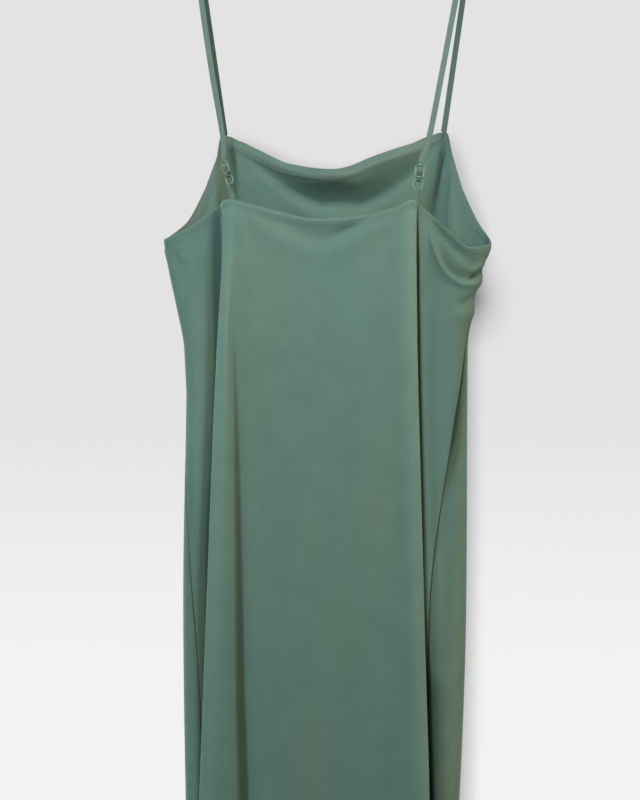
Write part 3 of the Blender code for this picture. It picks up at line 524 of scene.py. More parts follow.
# Painted shadow on the wall where the cloth hangs near it.
SHADE_REACH = 0.055             # the wall is shaded by cloth nearer than this
SHADE_DARKEST = 0.30            # fully, where this share of its surroundings is open
SHADE_CLEAR = 0.80              # and not at all above this share
SHADE_FLOOR = 0.35              # what is left of its light then
# Painted soft shadow of the dress on the wall beside its right armhole, from the wall's middle:
# place and reach across, then the same upwards.
SIDE_SHADE = ((0.166, 0.055), (-0.045, 0.082))
SIDE_SHADE_COLOUR = (0.44, 0.43, 0.44)
WORLD_COLOUR = (0.93, 0.97, 1.0, 1)
WORLD_LIGHT = 0.16
LIGHTS_AIM = (0, 0, -0.65)
LIGHTS = (                      # name, place, size, watts and colour
    ("front", (0, -1.6, -0.1), 0.7, 4.4, (1, 1, 1)),
    ("high front", (0.2, -1.35, 0.35), 0.6, 13.5, (1, 1, 1)),
    ("warm right", (2.0, -0.65, 0.3), 0.5, 19.5, (1.0, 0.80, 0.62)),
    ("cool left", (-1.7, -0.75, 0.5), 0.5, 19.0, (0.86, 0.96, 0.98)),
    ("front room", (0.6, 2.6, 0.3), 1.6, 52.0, (1, 1, 1)),
    ("front room side", (-1.9, 1.5, 0.2), 1.0, 18.0, (1, 0.97, 0.92)),
)
CAMERA_TURN = radians(14)       # to the right of straight behind the dress
CAMERA_AIM = (-0.004, 0, -0.669)
CAMERA_ASIDE = 0.01037          # and its aim lies this far left of that point
CAMERA_FAR = 4.88
CAMERA_LENS = 180


# ---- the surface of the cloth ----

def smoothstep(low, high, value):
    """0 below low and 1 above high, with a soft run between them."""
    t = np.clip((value - low) / (high - low), 0, 1)
    return t * t * (3 - 2 * t)


def smooth_curve(values, places, at):
    """Smooth curve through values at rising places, level at its turns.

    The places run along the last axis of values, and at has the shape of its other axes.
    """
    rates = np.diff(values, axis=-1) / np.diff(places)
    before, after = rates[..., :-1], rates[..., 1:]
    total = np.where(before + after == 0, 1, before + after)
    inner = np.where(before * after > 0, 2 * before * after / total, 0)
    slopes = np.concatenate([rates[..., :1], inner, rates[..., -1:]], axis=-1)
    piece = np.clip(np.searchsorted(places, at, side="right") - 1, 0, len(places) - 2)
    gap = places[piece + 1] - places[piece]
    t = np.clip((at - places[piece]) / gap, 0, 1)

    def pick(table, shift):
        return np.take_along_axis(table, (piece + shift)[..., None], axis=-1)[..., 0]

    low = pick(values, 0)
    rise = pick(values, 1) - low
    return (low + rise * t * t * (3 - 2 * t)
            + gap * t * (1 - t) * (pick(slopes, 0) * (1 - t) - pick(slopes, 1) * t))


def by_height(table, height, column=1):
    """A column of a table whose rows start with a height in millimetres, at these heights."""
    table = np.array(table, dtype=float)
    values = np.broadcast_to(table[:, column], height.shape + (len(table),))
    return smooth_curve(values, -table[:, 0] * MM, -height)


def fold_place(number, height):
    """Where rows of FOLDS stand at these heights, seen from above: an (x, y) pair for each."""
    row = number % COUNT
    x = smooth_curve(ACROSS[row], X_LEVELS, -height) + DRESS_X
    y = smooth_curve(DEPTHS[row], Y_LEVELS, -height)
    return np.stack([x, y], axis=-1)


def smooth_cloth(across, height):
    """Points of the uncreased cloth on the lines numbered across, at these heights.

    A centripetal Catmull-Rom curve runs round the body through the rows of FOLDS.
    """
    first = np.floor(across).astype(int)
    t = (across - first)[..., None]
    a, b, c, d = (fold_place(first + i, height) for i in (-1, 0, 1, 2))
    before, here, after = (np.sqrt(np.linalg.norm(q - p, axis=-1, keepdims=True))
                           for p, q in ((a, b), (b, c), (c, d)))
    leave = ((b - a) * here / before + (c - b) * before / here) * here / (before + here)
    arrive = ((c - b) * after / here + (d - c) * here / after) * here / (here + after)
    flat = b + (c - b) * t * t * (3 - 2 * t) + t * (1 - t) * (leave * (1 - t) - arrive * t)
    return np.concatenate([flat, height[..., None]], axis=-1)


def top_edge(across):
    """Height of the cloth's top edge on the lines numbered across."""
    first = np.floor(across).astype(int) - 1
    tops = TOPS[(first[..., None] + np.arange(4)) % COUNT]
    return smooth_curve(tops, np.arange(4.0), across - first)


def steepness(across):
    """How steeply the top edge runs: its length over its run as seen from above."""
    reach = 0.3
    ahead = smooth_cloth(across + reach, top_edge(across + reach))
    behind = smooth_cloth(across - reach, top_edge(across - reach))
    run = ahead - behind
    flat = np.maximum(np.hypot(run[..., 0], run[..., 1]), GAP)
    return np.minimum(STEEPEST, np.linalg.norm(run, axis=-1) / flat)


def lines_from(line, across):
    """How many rows of FOLDS lie between a line and the lines across, the short way round."""
    return (across - line + COUNT / 2) % COUNT - COUNT / 2


def after_seams(across, height):
    """Lines of a panel that started as across, after the side seams swing to the back."""
    near_left = np.maximum(0, 1 - np.abs(lines_from(LEFT_SIDE, across)) / SEAM_REACH)
    near_right = np.maximum(0, 1 - np.abs(lines_from(RIGHT_SIDE, across)) / SEAM_REACH)
    return (across + near_left * by_height(LEFT_SEAM, height)
            - near_right * by_height(RIGHT_SEAM, height))


def seam_distance(points, height):
    """How far points are from the nearer side seam, level with them."""
    right = smooth_cloth(RIGHT_SIDE - by_height(RIGHT_SEAM, height), height)
    left = smooth_cloth(by_height(LEFT_SEAM, height), height)
    return np.minimum(np.linalg.norm(points - right, axis=-1),
                      np.linalg.norm(points - left, axis=-1))


def normals_of(points):
    """Unit normals of a grid of points, rows going down and columns going round."""
    down = np.gradient(points, axis=0)
    along = np.gradient(points, axis=1)
    normal = np.cross(down, along)
    return normal / np.maximum(np.linalg.norm(normal, axis=-1, keepdims=True), 1e-12)


def run_along(path):
    """Distance covered along a path, at each of its points."""
    return np.concatenate([[0], np.cumsum(np.linalg.norm(np.diff(path, axis=0), axis=1))])


def crease_line(crease):
    """Close points along a crease's path: x, z, out and half-width, in metres."""
    rows = np.array(crease.points) * MM
    place = run_along(rows[:, :2])
    at = np.linspace(0, place[-1], CREASE_STEPS * (len(rows) - 1) + 1)
    return np.stack([smooth_curve(np.broadcast_to(column, (len(at), len(rows))), place, at)
                     for column in rows.T], axis=-1)


def between_rows(across, rows):
    """1 on the lines between these rows of FOLDS, fading to 0 beyond them."""
    middle = (rows[0] + rows[1]) / 2
    half = (rows[1] - rows[0]) / 2
    return smoothstep(half + ROW_FADE, half - ROW_FADE, np.abs(lines_from(middle, across)))


def crease_push(crease, points, across):
    """How far a crease pushes each of the points out along its normal."""
    line = crease_line(crease)
    reach = CREASE_REACH * line[:, 3].max() * max(1, crease.right_side)
    low = line[:, :2].min(axis=0) - reach
    high = line[:, :2].max(axis=0) + reach
    spot = points[..., [0, 2]] - np.array([DRESS_X, 0])
    share = between_rows(across, crease.rows)
    near = np.all((spot > low) & (spot < high), axis=-1) & (share > 0)
    push = np.zeros(points.shape[:2])
    if not near.any():
        return push
    here = spot[near]
    best = np.full(len(here), np.inf)
    found = np.zeros((len(here), 3))
    for start, end in zip(line, line[1:]):
        step = end[:2] - start[:2]
        long = np.hypot(*step)
        off = here - start[:2]
        t = np.clip((off @ step) / long ** 2, 0, 1)
        gap = np.linalg.norm(off - t[:, None] * step, axis=1)
        closer = gap < best
        best = np.where(closer, gap, best)
        to_right = (off[:, 0] * step[1] - off[:, 1] * step[0]) / long
        row = np.column_stack([start[2:] + t[:, None] * (end[2:] - start[2:]), to_right])
        found[closer] = row[closer]
    wide = 1 + (crease.right_side - 1) * smoothstep(-MM, MM, found[:, 2])
    wide *= np.maximum(found[:, 1], MM)
    push[near] = found[:, 0] * np.exp(-(best / wide) ** 2) * share[near]
    return push


def roll_push(roll, across, height):
    """How far a roll pushes the cloth out on these lines at these heights."""
    away = lines_from(roll.line, across) / roll.width
    return by_height(roll.points, height) * MM * np.exp(-away ** 2)


def creased_cloth(across, height):
    """Points of the cloth's outer face with all its creases, for a grid of lines and heights."""
    points = smooth_cloth(across, height)
    normal = normals_of(points)
    push = sum(roll_push(roll, across, height) for roll in ROLLS)
    for crease in CREASES:
        push += crease_push(crease, points, across)
    below_edge = (top_edge(across) - height) / steepness(across)
    measures = {"below edge": below_edge, "from seam": seam_distance(points, height),
                "above hem": height - HEM}
    for name, place, out, width in EDGE_FORMS:
        push += out * MM * np.exp(-((measures[name] - place * MM) / (width * MM)) ** 2)
    return points + normal * push[..., None]


def depth_along(points, normal, reach):
    """How deep each point of a grid lies under a straight line laid along its row."""
    depth = np.zeros(points.shape[:2])
    for row, line in enumerate(points):
        place = run_along(line)
        span = np.minimum(reach, np.minimum(place, place[-1] - place))
        ends = [np.stack([np.interp(place + way * span, place, line[:, axis])
                          for axis in range(3)], axis=-1) for way in (-1, 1)]
        depth[row] = np.sum(((ends[0] + ends[1]) / 2 - line) * normal[row], axis=-1)
    return depth


def hollows(points, normal, reaches):
    """How deep the points of a grid lie in its hollows, above 0, or stand on its ridges.

    reaches are pairs: how far either side of a point to look, and the depth that counts as 1.
    """
    found = np.zeros(points.shape[:2])
    for reach, full in reaches:
        round_body = depth_along(points, normal, reach)
        down = depth_along(points.swapaxes(0, 1), normal.swapaxes(0, 1), reach).T
        found += (round_body + down) / full
    return found


def rim_place(rim, height):
    """Where across the dress the shade of a rim between these lines of FOLDS starts."""
    levels = np.linspace(TOPS.max(), HEM, 90)
    lines = np.linspace(*rim, 15)
    shape = (len(levels), len(lines))
    points = creased_cloth(np.broadcast_to(lines, shape), np.broadcast_to(levels[:, None], shape))
    furthest = np.interp(-height, -levels, points[..., 0].max(axis=1))
    return furthest - by_height(SET_BACK, height) * MM


def edge_shade(points, across, height, from_seam):
    """How much painted shade the cloth gets, up to about 1, beside the edges of SHADES and along
    SHADE_LINES; below 0 it is painted light.
    """
    right_of_seam = across > RIGHT_SIDE - by_height(RIGHT_SEAM, height)
    total = np.zeros(height.shape)
    for shade in SHADES:
        strong = by_height(shade.points, height)
        reach = by_height(shade.points, height, 2) * MM
        if shade.rim:
            gap = np.maximum(points[..., 0] - rim_place(shade.rim, height), 0)
            first, last = shade.rows
            share = smoothstep(first - SHADE_START, first, across)
            share = share * smoothstep(last + SHADE_END, last, across)
        else:
            gap = from_seam
            share = right_of_seam * between_rows(across, shade.rows)
        total += strong * share * np.exp(-(gap / reach) ** shade.fade)
    for line in SHADE_LINES:
        total += crease_push(line, points, across) / MM
    return total


# ---- making pieces ----

def finish_piece(made, look, slot, *nodes):
    """Give a piece its material, its body and the CAD nodes that it stands for."""
    made.data.materials.clear()
    made.data.materials.append(look)
    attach(made, "root")
    if nodes:
        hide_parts(*nodes)
    return made


def new_object(name, shape):
    """New object in the scene, made from a mesh, curve, lamp or lens."""
    made = bpy.data.objects.new(name, shape)
    bpy.context.scene.collection.objects.link(made)
    return made


def new_mesh(name, vertices, faces, places=None):
    """New object from points and faces; places are cloth coordinates in metres, one a point."""
    mesh = bpy.data.meshes.new(name)
    mesh.from_pydata([tuple(v) for v in vertices], [], faces)
    if places is not None:
        layer = mesh.uv_layers.new(name="cloth")
        corner = np.zeros(len(mesh.loops), dtype=np.int32)
        mesh.loops.foreach_get("vertex_index", corner)
        layer.uv.foreach_set("vector", np.asarray(places, np.float32)[corner].ravel())
    mesh.shade_smooth()
    return new_object(name, mesh)


def smoothed(made, sharp):
    """Shade a piece smoothly, but for edges that turn by more than sharp degrees."""
    made.data.shade_smooth()
    made.data.set_sharp_from_angle(angle=radians(sharp))
    return made


def arc(radius, start, end, steps):
    """Points of an arc about the origin, as (across, up) pairs."""
    angles = [start + (end - start) * step / steps for step in range(steps + 1)]
    return [(radius * cos(angle), radius * sin(angle)) for angle in angles]


def tube_faces(first, sides, rings):
    """Faces of a tube whose rings of vertices start at first, with a cap at each end."""
    faces = []
    for ring in range(rings - 1):
        for turn in range(sides):
            a = first + ring * sides + turn
            b = first + ring * sides + (turn + 1) % sides
            faces.append((a, b, b + sides, a + sides))
    last = first + (rings - 1) * sides
    faces.append(tuple(range(first + sides - 1, first - 1, -1)))
    faces.append(tuple(range(last, last + sides)))
    return faces


def length_along(points, axis):
    """Distance covered along one axis of a grid of points."""
    steps = np.linalg.norm(np.diff(points, axis=axis), axis=-1)
    start = np.zeros_like(np.take(steps, [0], axis=axis))
    return np.concatenate([start, np.cumsum(steps, axis=axis)], axis=axis)


def cloth_wall(name, outer, inner, measures):
    """Closed wall of cloth between two grids of points, with round top and bottom edges.

    measures name values of painted shade and light for the cloth's colour, each a pair of grids:
    outside and inside.
    """
    up = outer[0] - outer[1]
    up /= np.linalg.norm(up, axis=-1, keepdims=True)
    down = outer[-1] - outer[-2]
    down /= np.linalg.norm(down, axis=-1, keepdims=True)

    def rim(a, b, way):
        middle, half = (a + b) / 2, (a - b) / 2
        rise = way * np.linalg.norm(half, axis=-1, keepdims=True)
        return [middle + half * cos(t) + rise * sin(t) for t in (pi / 4, pi / 2, 3 * pi / 4)]

    loop = [*outer[::-1], *rim(outer[0], inner[0], up), *inner, *rim(inner[-1], outer[-1], down)]
    rows, columns = outer.shape[:2]
    ring = np.stack(loop)
    across = length_along(outer, 1)
    lengths = np.stack([across - across[:, [columns // 2]], length_along(outer, 0)], axis=-1)
    places = np.concatenate([lengths[::-1], np.repeat(lengths[:1], 3, 0), lengths,
                             np.repeat(lengths[-1:], 3, 0)])
    count = len(loop)
    index = np.arange(count * columns).reshape(count, columns)
    following = np.roll(index, -1, axis=0)
    faces = np.stack([index[:, :-1], following[:, :-1], following[:, 1:], index[:, 1:]], axis=-1)
    faces = faces.reshape(-1, 4).tolist()
    for column, turned in ((0, False), (columns - 1, True)):
        out = index[:rows, column][::-1]
        inn = index[rows + 3:2 * rows + 3, column]
        caps = [[out[r], out[r + 1], inn[r + 1], inn[r]] for r in range(rows - 1)]
        caps.append([inn[0], *index[rows:rows + 3, column][::-1], out[0]])
        caps.append([out[-1], *index[2 * rows + 3:, column][::-1], inn[-1]])
        faces += [[int(i) for i in (cap[::-1] if turned else cap)] for cap in caps]
    made = new_mesh(name, ring.reshape(-1, 3), faces, places.reshape(-1, 2))
    flat = np.zeros((3, columns))
    for kind, (outside, inside) in measures.items():
        layer = made.data.attributes.new(kind, "FLOAT", "POINT")
        values = np.concatenate([outside[::-1], flat, inside, flat])
        layer.data.foreach_set("value", values.ravel())
    solid = bmesh.new()
    solid.from_mesh(made.data)
    bmesh.ops.recalc_face_normals(solid, faces=solid.faces)
    solid.to_mesh(made.data)
    solid.free()
    return smoothed(made, 70)


def wall_painted_shading(outer):
    """Painted shade in a cloth wall's hollows, painted highlights on its ridges, and painted warm
    or
    cool light by the way it faces: each a pair of grids, outside and inside.
    """
    normal = normals_of(outer)
    sharp = hollows(outer, normal, SHARP_REACHES)
    broad = hollows(outer, normal, BROAD_REACHES)
    return {"crease": (sharp, CREASE_INSIDE * sharp), "valley": (broad, VALLEY_INSIDE * broad),
            "turn": (normal[..., 0], -normal[..., 0])}


def panel_painted_shading(outer, across, height, from_seam):
    """A panel's painted shade and light, weaker or stronger in some of its folds, with the painted
    shade and light beside its fold edges and seams.
    """
    measures = wall_painted_shading(outer)
    turn = measures["turn"][0]
    inside_fold = smoothstep(*FOLD_TURN, turn) * smoothstep(*FOLD_HEIGHT, height)
    shade = edge_shade(outer, across, height, from_seam) * (1 - FOLD_WEAKER * inside_fold)
    shallow = between_rows(across, SHALLOW_ROWS) * smoothstep(SHALLOW_LOW, SHALLOW_HIGH, height)
    in_left_fold = between_rows(across, LEFT_FOLD_ROWS)
    in_long_crease = between_rows(across, LONG_CREASE_ROWS)
    warm = WARM_SHARE * measures["valley"][0] * in_long_crease
    for name, (more_shallow, more_left) in MORE_THERE.items():
        outside, inside = measures[name]
        share = 1 + more_shallow * shallow + more_left * in_left_fold
        measures[name] = (outside * share, inside)
    crease, crease_in = measures["crease"]
    valley, valley_in = measures["valley"]
    seam_shade = SEAM_SHADE * np.exp(-(from_seam / SEAM_SHADE_WIDTH) ** 2)
    measures["crease"] = (crease + warm + seam_shade, crease_in)
    measures["valley"] = (valley * (1 - in_long_crease), valley_in)
    measures["shade"] = (shade, np.zeros(height.shape))
    return measures


def panel(name, line, look):
    """One panel of the dress, from its top edge to the hem, with columns on these lines."""
    top = top_edge(line) - CLOTH / 2
    share = (np.arange(ROWS) / (ROWS - 1)) ** CROWDING
    height = top + (HEM + CLOTH / 2 - top) * share[:, None]
    across = after_seams(np.broadcast_to(line, height.shape), height)
    reach = 0.1
    width = np.linalg.norm(smooth_cloth(across + reach, height)
                           - smooth_cloth(across - reach, height), axis=-1)
    trim = GAP * reach / width
    across[:, 0] += trim[:, 0]
    across[:, -1] -= trim[:, -1]
    outer = creased_cloth(across, height)
    from_seam = seam_distance(smooth_cloth(across, height), height)
    allowance = smoothstep(SEAM_ALLOWANCE + MM, SEAM_ALLOWANCE, from_seam)
    under_band = ARM_BAND * steepness(across) + MM
    thick = CLOTH + HEM_PLY * smoothstep(HEM_TURN + MM, HEM_TURN - MM, height - HEM)
    thick += ALLOWANCE_PLY * allowance * smoothstep(under_band, under_band + 4 * MM, top - height)
    inner = outer - normals_of(outer) * thick[..., None]
    made = cloth_wall(name, outer, inner, panel_painted_shading(outer, across, height, from_seam))
    return finish_piece(made, look, "jersey", name)


# ---- bands and stitches ----

def column_lines(start, end):
    """Lines across a stretch of cloth, closer together where it folds."""
    lines = []
    for row in range(start, end):
        places = np.array([row, row + 1])
        run = np.diff(fold_place(places, np.full(2, COLUMN_LEVEL)), axis=0)[0]
        folded = min(abs(row + 0.5 - roll.line) for roll in ROLLS) < FOLD_REACH
        fewest = FEWEST_IN_FOLD if folded else FEWEST_COLUMNS
        steps = int(np.clip(np.hypot(*run) / COLUMN_WIDTH, fewest, MOST_COLUMNS))
        lines += [row + step / steps for step in range(steps)]
    beside_seams = [place for step in SEAM_COLUMNS for place in (start + step, end - step)]
    return np.array(sorted(lines + beside_seams + [end]), dtype=float)


def edge_band(name, start, end, depth, show, look):
    """Narrow band inside a top edge; show says where it stands over the edge, and how far."""
    line = np.linspace(start + BAND_CLEAR, end - BAND_CLEAR, int((end - start) * BAND_COLUMNS))
    top = top_edge(line)
    proud = sum(rise * np.exp(-((line - middle) / half) ** 4) for middle, half, rise in show)
    low = top - depth * steepness(line)
    share = np.linspace(0, 1, BAND_ROWS)[:, None]
    height = top + proud + (low - top - proud) * share
    across = np.broadcast_to(line, height.shape)
    face = creased_cloth(across, height)
    normal = normals_of(face)
    feather = smoothstep(*BAND_FEATHER, share)[..., None]
    outer = face - normal * (CLOTH + GAP - BAND_CLOSER * feather)
    inner = outer - normal * (BAND - BAND_THINNER * feather)
    made = cloth_wall(name, outer, inner, wall_painted_shading(outer))
    return finish_piece(made, look, "jersey", name)


def add_stitches(vertices, faces, points, normals):
    """Add small raised stitches along a path on the cloth to a piece's vertices and faces."""
    place = run_along(points)

    def found(values, at):
        return np.array([np.interp(at, place, column) for column in values.T])

    for middle in np.arange(STITCH_PITCH, place[-1] - STITCH_PITCH, STITCH_PITCH):
        here = found(points, middle)
        along = found(points, middle + STITCH_LONG / 2) - here
        along /= np.linalg.norm(along)
        side = np.cross(found(normals, middle), along)
        side /= np.linalg.norm(side)
        up = np.cross(along, side)
        faces.extend(tube_faces(len(vertices), 6, len(STITCH_FORM)))
        for reach, swell in STITCH_FORM:
            for across, out in arc(STITCH_RADIUS * swell, 0, 5 * pi / 3, 5):
                vertices.append(here + along * STITCH_LONG * reach + side * across + up * out)


def cloth_path(line, height, inside):
    """Points and normals along a path on the cloth, this far under its outer face."""
    grid = np.stack([height + MM, height, height - MM])
    face = creased_cloth(np.broadcast_to(line, grid.shape), grid)
    normal = normals_of(face)[1]
    return face[1] - normal * inside, normal


def stitches(name, rows, look):
    """One piece with several rows of stitches, each a (points, normals) path."""
    vertices, faces = [], []
    for points, normals in rows:
        add_stitches(vertices, faces, points, normals)
    return finish_piece(new_mesh(name, vertices, faces), look, "jersey")


def edge_stitches(look):
    """A row of stitches under each stretch of the top edge, outside and inside."""
    rows = []
    inside_of_bands = CLOTH + GAP + BAND
    for start, end, depth in EDGE_STRETCHES:
        line = np.linspace(start + EDGE_ROW_END, end - EDGE_ROW_END, int((end - start) * 14))
        height = top_edge(line) - depth * steepness(line)
        rows.append(cloth_path(line, height, 0))
        points, normals = cloth_path(line, height, inside_of_bands)
        rows.append((points, -normals))
    return stitches("edge_stitching", rows, look)


def hem_stitches(look):
    """Twin rows of stitches round the hem."""
    rows = []
    for start, end in ((0, RIGHT_SIDE), (RIGHT_SIDE, LEFT_SIDE)):
        for above in HEM_ROWS:
            line = np.linspace(start + HEM_ROW_END, end - HEM_ROW_END, 260)
            height = np.full(line.shape, HEM + above)
            rows.append(cloth_path(after_seams(line, height), height, 0))
    return stitches("hem_stitching", rows, look)


# ---- straps and fittings ----

def smooth_path(points, steps):
    """Points of a Catmull-Rom curve through these, with this many to a stretch."""
    ends = [2 * points[0] - points[1], *points, 2 * points[-1] - points[-2]]
    path = []
    for a, b, c, d in zip(ends, ends[1:], ends[2:], ends[3:]):
        for step in range(steps):
            t = step / steps
            path.append(b + 0.5 * t * (c - a + t * (2 * a - 5 * b + 4 * c - d
                                                    + t * (3 * (b - c) + d - a))))
    return path + [points[-1]]


def ribbon(name, spine, thick, look, slot):
    """Soft-edged strip of cloth along a spine of (middle, direction across, width) stations."""
    section = []
    for turn in range(RIBBON_POINTS):
        angle = 2 * pi * (turn + 0.5) / RIBBON_POINTS
        corner = (abs(cos(angle)) ** 4 + abs(sin(angle)) ** 4) ** -0.25
        section.append((cos(angle) * corner, sin(angle) * corner))
    vertices, places = [], []
    run = 0.0
    for i, (middle, across, width) in enumerate(spine):
        before = spine[max(i - 1, 0)][0]
        after = spine[min(i + 1, len(spine) - 1)][0]
        along = (after - before).normalized()
        across = (across - along * across.dot(along)).normalized()
        face = along.cross(across) * thick / 2
        side = across * width / 2
        if i:
            run += (middle - before).length
        pinch = RIBBON_END if i in (0, len(spine) - 1) else 1.0
        for x, y in section:
            vertices.append(middle + side * x * pinch + face * y * pinch)
            places.append((x * width / 2 + (0 if y > 0 else UNDERSIDE), run))
    made = new_mesh(name, vertices, tube_faces(0, RIBBON_POINTS, len(spine)), places)
    return finish_piece(smoothed(made, 60), look, slot, name)


def fitting_place(side):
    """Placement of a side's ring and slider: the ring's middle, turned and leaning."""
    spot = Matrix.Translation((side.ring_x, RING_Y, side.ring_z))
    return spot @ Matrix.Rotation(side.turn, 4, "Z") @ Matrix.Rotation(side.lean, 4, "Y")


def over_the_hanger(side):
    """Stations of the strap over its notch: front edge, flat top, back edge."""
    bend = arc(GAP + STRAP_THICK / 2, 0, pi / 2, 6)
    front = [Vector((side.front_top, ARM_DEPTH / 2 + y, NOTCH_TOP + z)) for y, z in bend]
    back = [Vector((side.back_leg[-1][0], -ARM_DEPTH / 2 - y, NOTCH_TOP + z)) for y, z in bend]
    return front + back[::-1]


def back_leg(side):
    """Stations of the strap from the hanger down to its slider."""
    top_y = -(ARM_DEPTH / 2 + GAP + STRAP_THICK / 2)
    place = fitting_place(side)
    slider = SLIDER_RISE + SLIDER_HEIGHT / 2
    low = place @ Vector((0, WEAVE - SLIDER_FORWARD, slider - SLIDER_EDGE / 2))
    legs = []
    for x, z in reversed(side.back_leg[:-1]):
        part = (NOTCH_TOP - z) / (NOTCH_TOP - low.z)
        legs.append(Vector((x, top_y + (low.y - top_y) * part, z)))
    above = place @ Vector((0, WEAVE - SLIDER_FORWARD, slider + ABOVE_SLIDER))
    start = Vector((side.back_leg[-1][0], top_y, NOTCH_TOP))
    return smooth_path([start, *legs, above], BACK_STEPS)[1:]


def through_fittings(side):
    """Stations of the strap woven through the slider, round the ring and back up."""
    place = fitting_place(side)
    pitch = (SLIDER_HEIGHT - SLIDER_EDGE) / 2
    under = SLIDER_RISE - pitch - BELOW_SLIDER
    behind = WEAVE - SLIDER_FORWARD
    loop = RING_WIRE + STRAP_THICK / 2 + GAP + STRAP_SLACK
    points = []
    for step in range(2 * TURN_STEPS + 1):
        rise = pitch * (1 - step / TURN_STEPS)
        y = -WEAVE * cos(pi * rise / pitch) - SLIDER_FORWARD
        points.append((y, SLIDER_RISE + rise, STRAP_WIDTH))
    points.append((behind, under, STRAP_WIDTH))
    points += [(y, RING_RADIUS + z, LOOP_WIDTH) for y, z in arc(loop, pi, 2 * pi, TURN_STEPS)]
    points.append((WEAVE + LEG_GAP, under, STRAP_WIDTH))
    for further, down in TUCK:
        points.append((behind + further * MM, SLIDER_RISE - down * pitch, STRAP_WIDTH))
    across = place.to_3x3() @ Vector((1, 0, 0))
    return [(place @ Vector((0, y, z)), across, width) for y, z, width in points]


def shade_strip(made, side):
    """Paint shade on a strap or tab by its ring and slider, and on the strap's leg at the front."""
    inward = fitting_place(side).inverted()
    layer = made.data.attributes.new("shade", "FLOAT", "POINT")
    for vertex, value in zip(made.data.vertices, layer.data):
        spot = inward @ vertex.co
        near = np.exp(-(Vector((spot.x, spot.y)).length / FITTING_REACH) ** 4)
        shade = sum(strong * np.exp(-((spot.z - rise) / reach) ** 2)
                    for rise, reach, strong in FITTING_SHADES)
        at_front = smoothstep(0, ARM_DEPTH / 2, vertex.co.y)
        value.value = float(near * shade + side.front_shade * at_front)
    return made


def strap(side, look):
    """Strap from the front corner, over the hanger, through slider and ring to the slider."""
    corner = Vector((side.front_x, FRONT_STRAP_Y, 0))
    row = FRONT_CORNERS[0] if side.front_x > 0 else FRONT_CORNERS[1]
    corner.z = float(top_edge(np.array(row))) + GAP
    top = over_the_hanger(side)
    stub = corner + Vector((0, 0, STUB))
    front = [corner] + [stub.lerp(top[0], part / FRONT_STEPS) for part in range(FRONT_STEPS)]
    flat_on = Vector((1, 0, 0))
    stations = [(point, flat_on, STRAP_WIDTH) for point in front + top]
    leg = back_leg(side)
    turned = fitting_place(side).to_3x3() @ flat_on
    for i, point in enumerate(leg):
        twist = max(0.0, (i + 1 - len(leg) / 2) / (len(leg) / 2))
        stations.append((point, flat_on.lerp(turned, twist), STRAP_WIDTH))
    stations += through_fittings(side)
    made = ribbon(f"strap_{side.name}", stations, STRAP_THICK, look, "strap_jersey")
    return shade_strip(made, side)


def tab(side, look):
    """Short loop of cloth that holds the ring above a back corner."""
    low_wire = side.ring_z - RING_RADIUS
    loop = RING_WIRE + TAB_THICK / 2 + TAB_SLACK
    corner = BACK_CORNERS[0] if side.corner_x < 0 else BACK_CORNERS[1]
    base = float(top_edge(np.array(corner))) + GAP - low_wire
    points = [(-leg.apart * TAB_THICK, base * leg.down, leg.moved) for leg in TAB_LEG]
    points += [(y, z, 1.0) for y, z in arc(loop, pi, 0, TURN_STEPS)]
    points += [(leg.apart * TAB_THICK, base * leg.down, leg.moved) for leg in reversed(TAB_LEG)]
    stations = []
    for y, z, part in points:
        spin = Matrix.Rotation(side.turn * part, 3, "Z")
        middle = Vector((side.corner_x, RING_Y, low_wire))
        middle.x += (side.ring_x - side.corner_x) * part
        offset = spin @ Vector((0, y, 0))
        width = TAB_WIDTH + (LOOP_WIDTH - TAB_WIDTH) * part
        stations.append((middle + offset + Vector((0, 0, z)), spin @ Vector((1, 0, 0)), width))
    made = ribbon(f"tab_{side.name}", stations, TAB_THICK, look, "strap_jersey")
    return shade_strip(made, side)


def ring(side, look):
    """Round wire ring that joins the strap to its tab."""
    bpy.ops.mesh.primitive_torus_add(major_radius=RING_RADIUS, minor_radius=RING_WIRE,
                                     major_segments=72, minor_segments=18)
    made = bpy.context.object
    made.name = f"ring_{side.name}_shown"
    made.data.shade_smooth()
    made.matrix_world = fitting_place(side) @ Matrix.Rotation(pi / 2, 4, "X")
    return finish_piece(made, look, "fittings", f"ring_{side.name}")


def new_curve(name, dimensions, bevel, steps):
    """New curve with a round edge."""
    curve = bpy.data.curves.new(name, "CURVE")
    curve.dimensions = dimensions
    curve.bevel_depth = bevel
    curve.bevel_resolution = steps
    return curve


def add_line(curve, points, closed):
    """Add a line through these points to a curve."""
    spline = curve.splines.new("POLY")
    spline.points.add(len(points) - 1)
    for point, place in zip(spline.points, points):
        point.co = (*place, 1)
    spline.use_cyclic_u = closed


def oval(curve, middle, half_width, half_height, corner, steps):
    """Add a closed rounded oblong to a flat curve."""
    points = []
    for turn, (sx, sy) in enumerate(((1, 1), (-1, 1), (-1, -1), (1, -1))):
        corner_x = sx * (half_width - corner)
        corner_y = middle + sy * (half_height - corner)
        points += [(corner_x + x, corner_y + y, 0)
                   for x, y in arc(corner, pi / 2 * turn, pi / 2 * (turn + 1), steps)]
    add_line(curve, points, True)


def from_curve(name, curve, place):
    """Mesh object made from a curve's shape, in its place."""
    shape = new_object(name + "_line", curve)
    made = new_object(name, bpy.data.meshes.new_from_object(shape))
    bpy.data.objects.remove(shape, do_unlink=True)
    made.matrix_world = place
    return smoothed(made, 50)


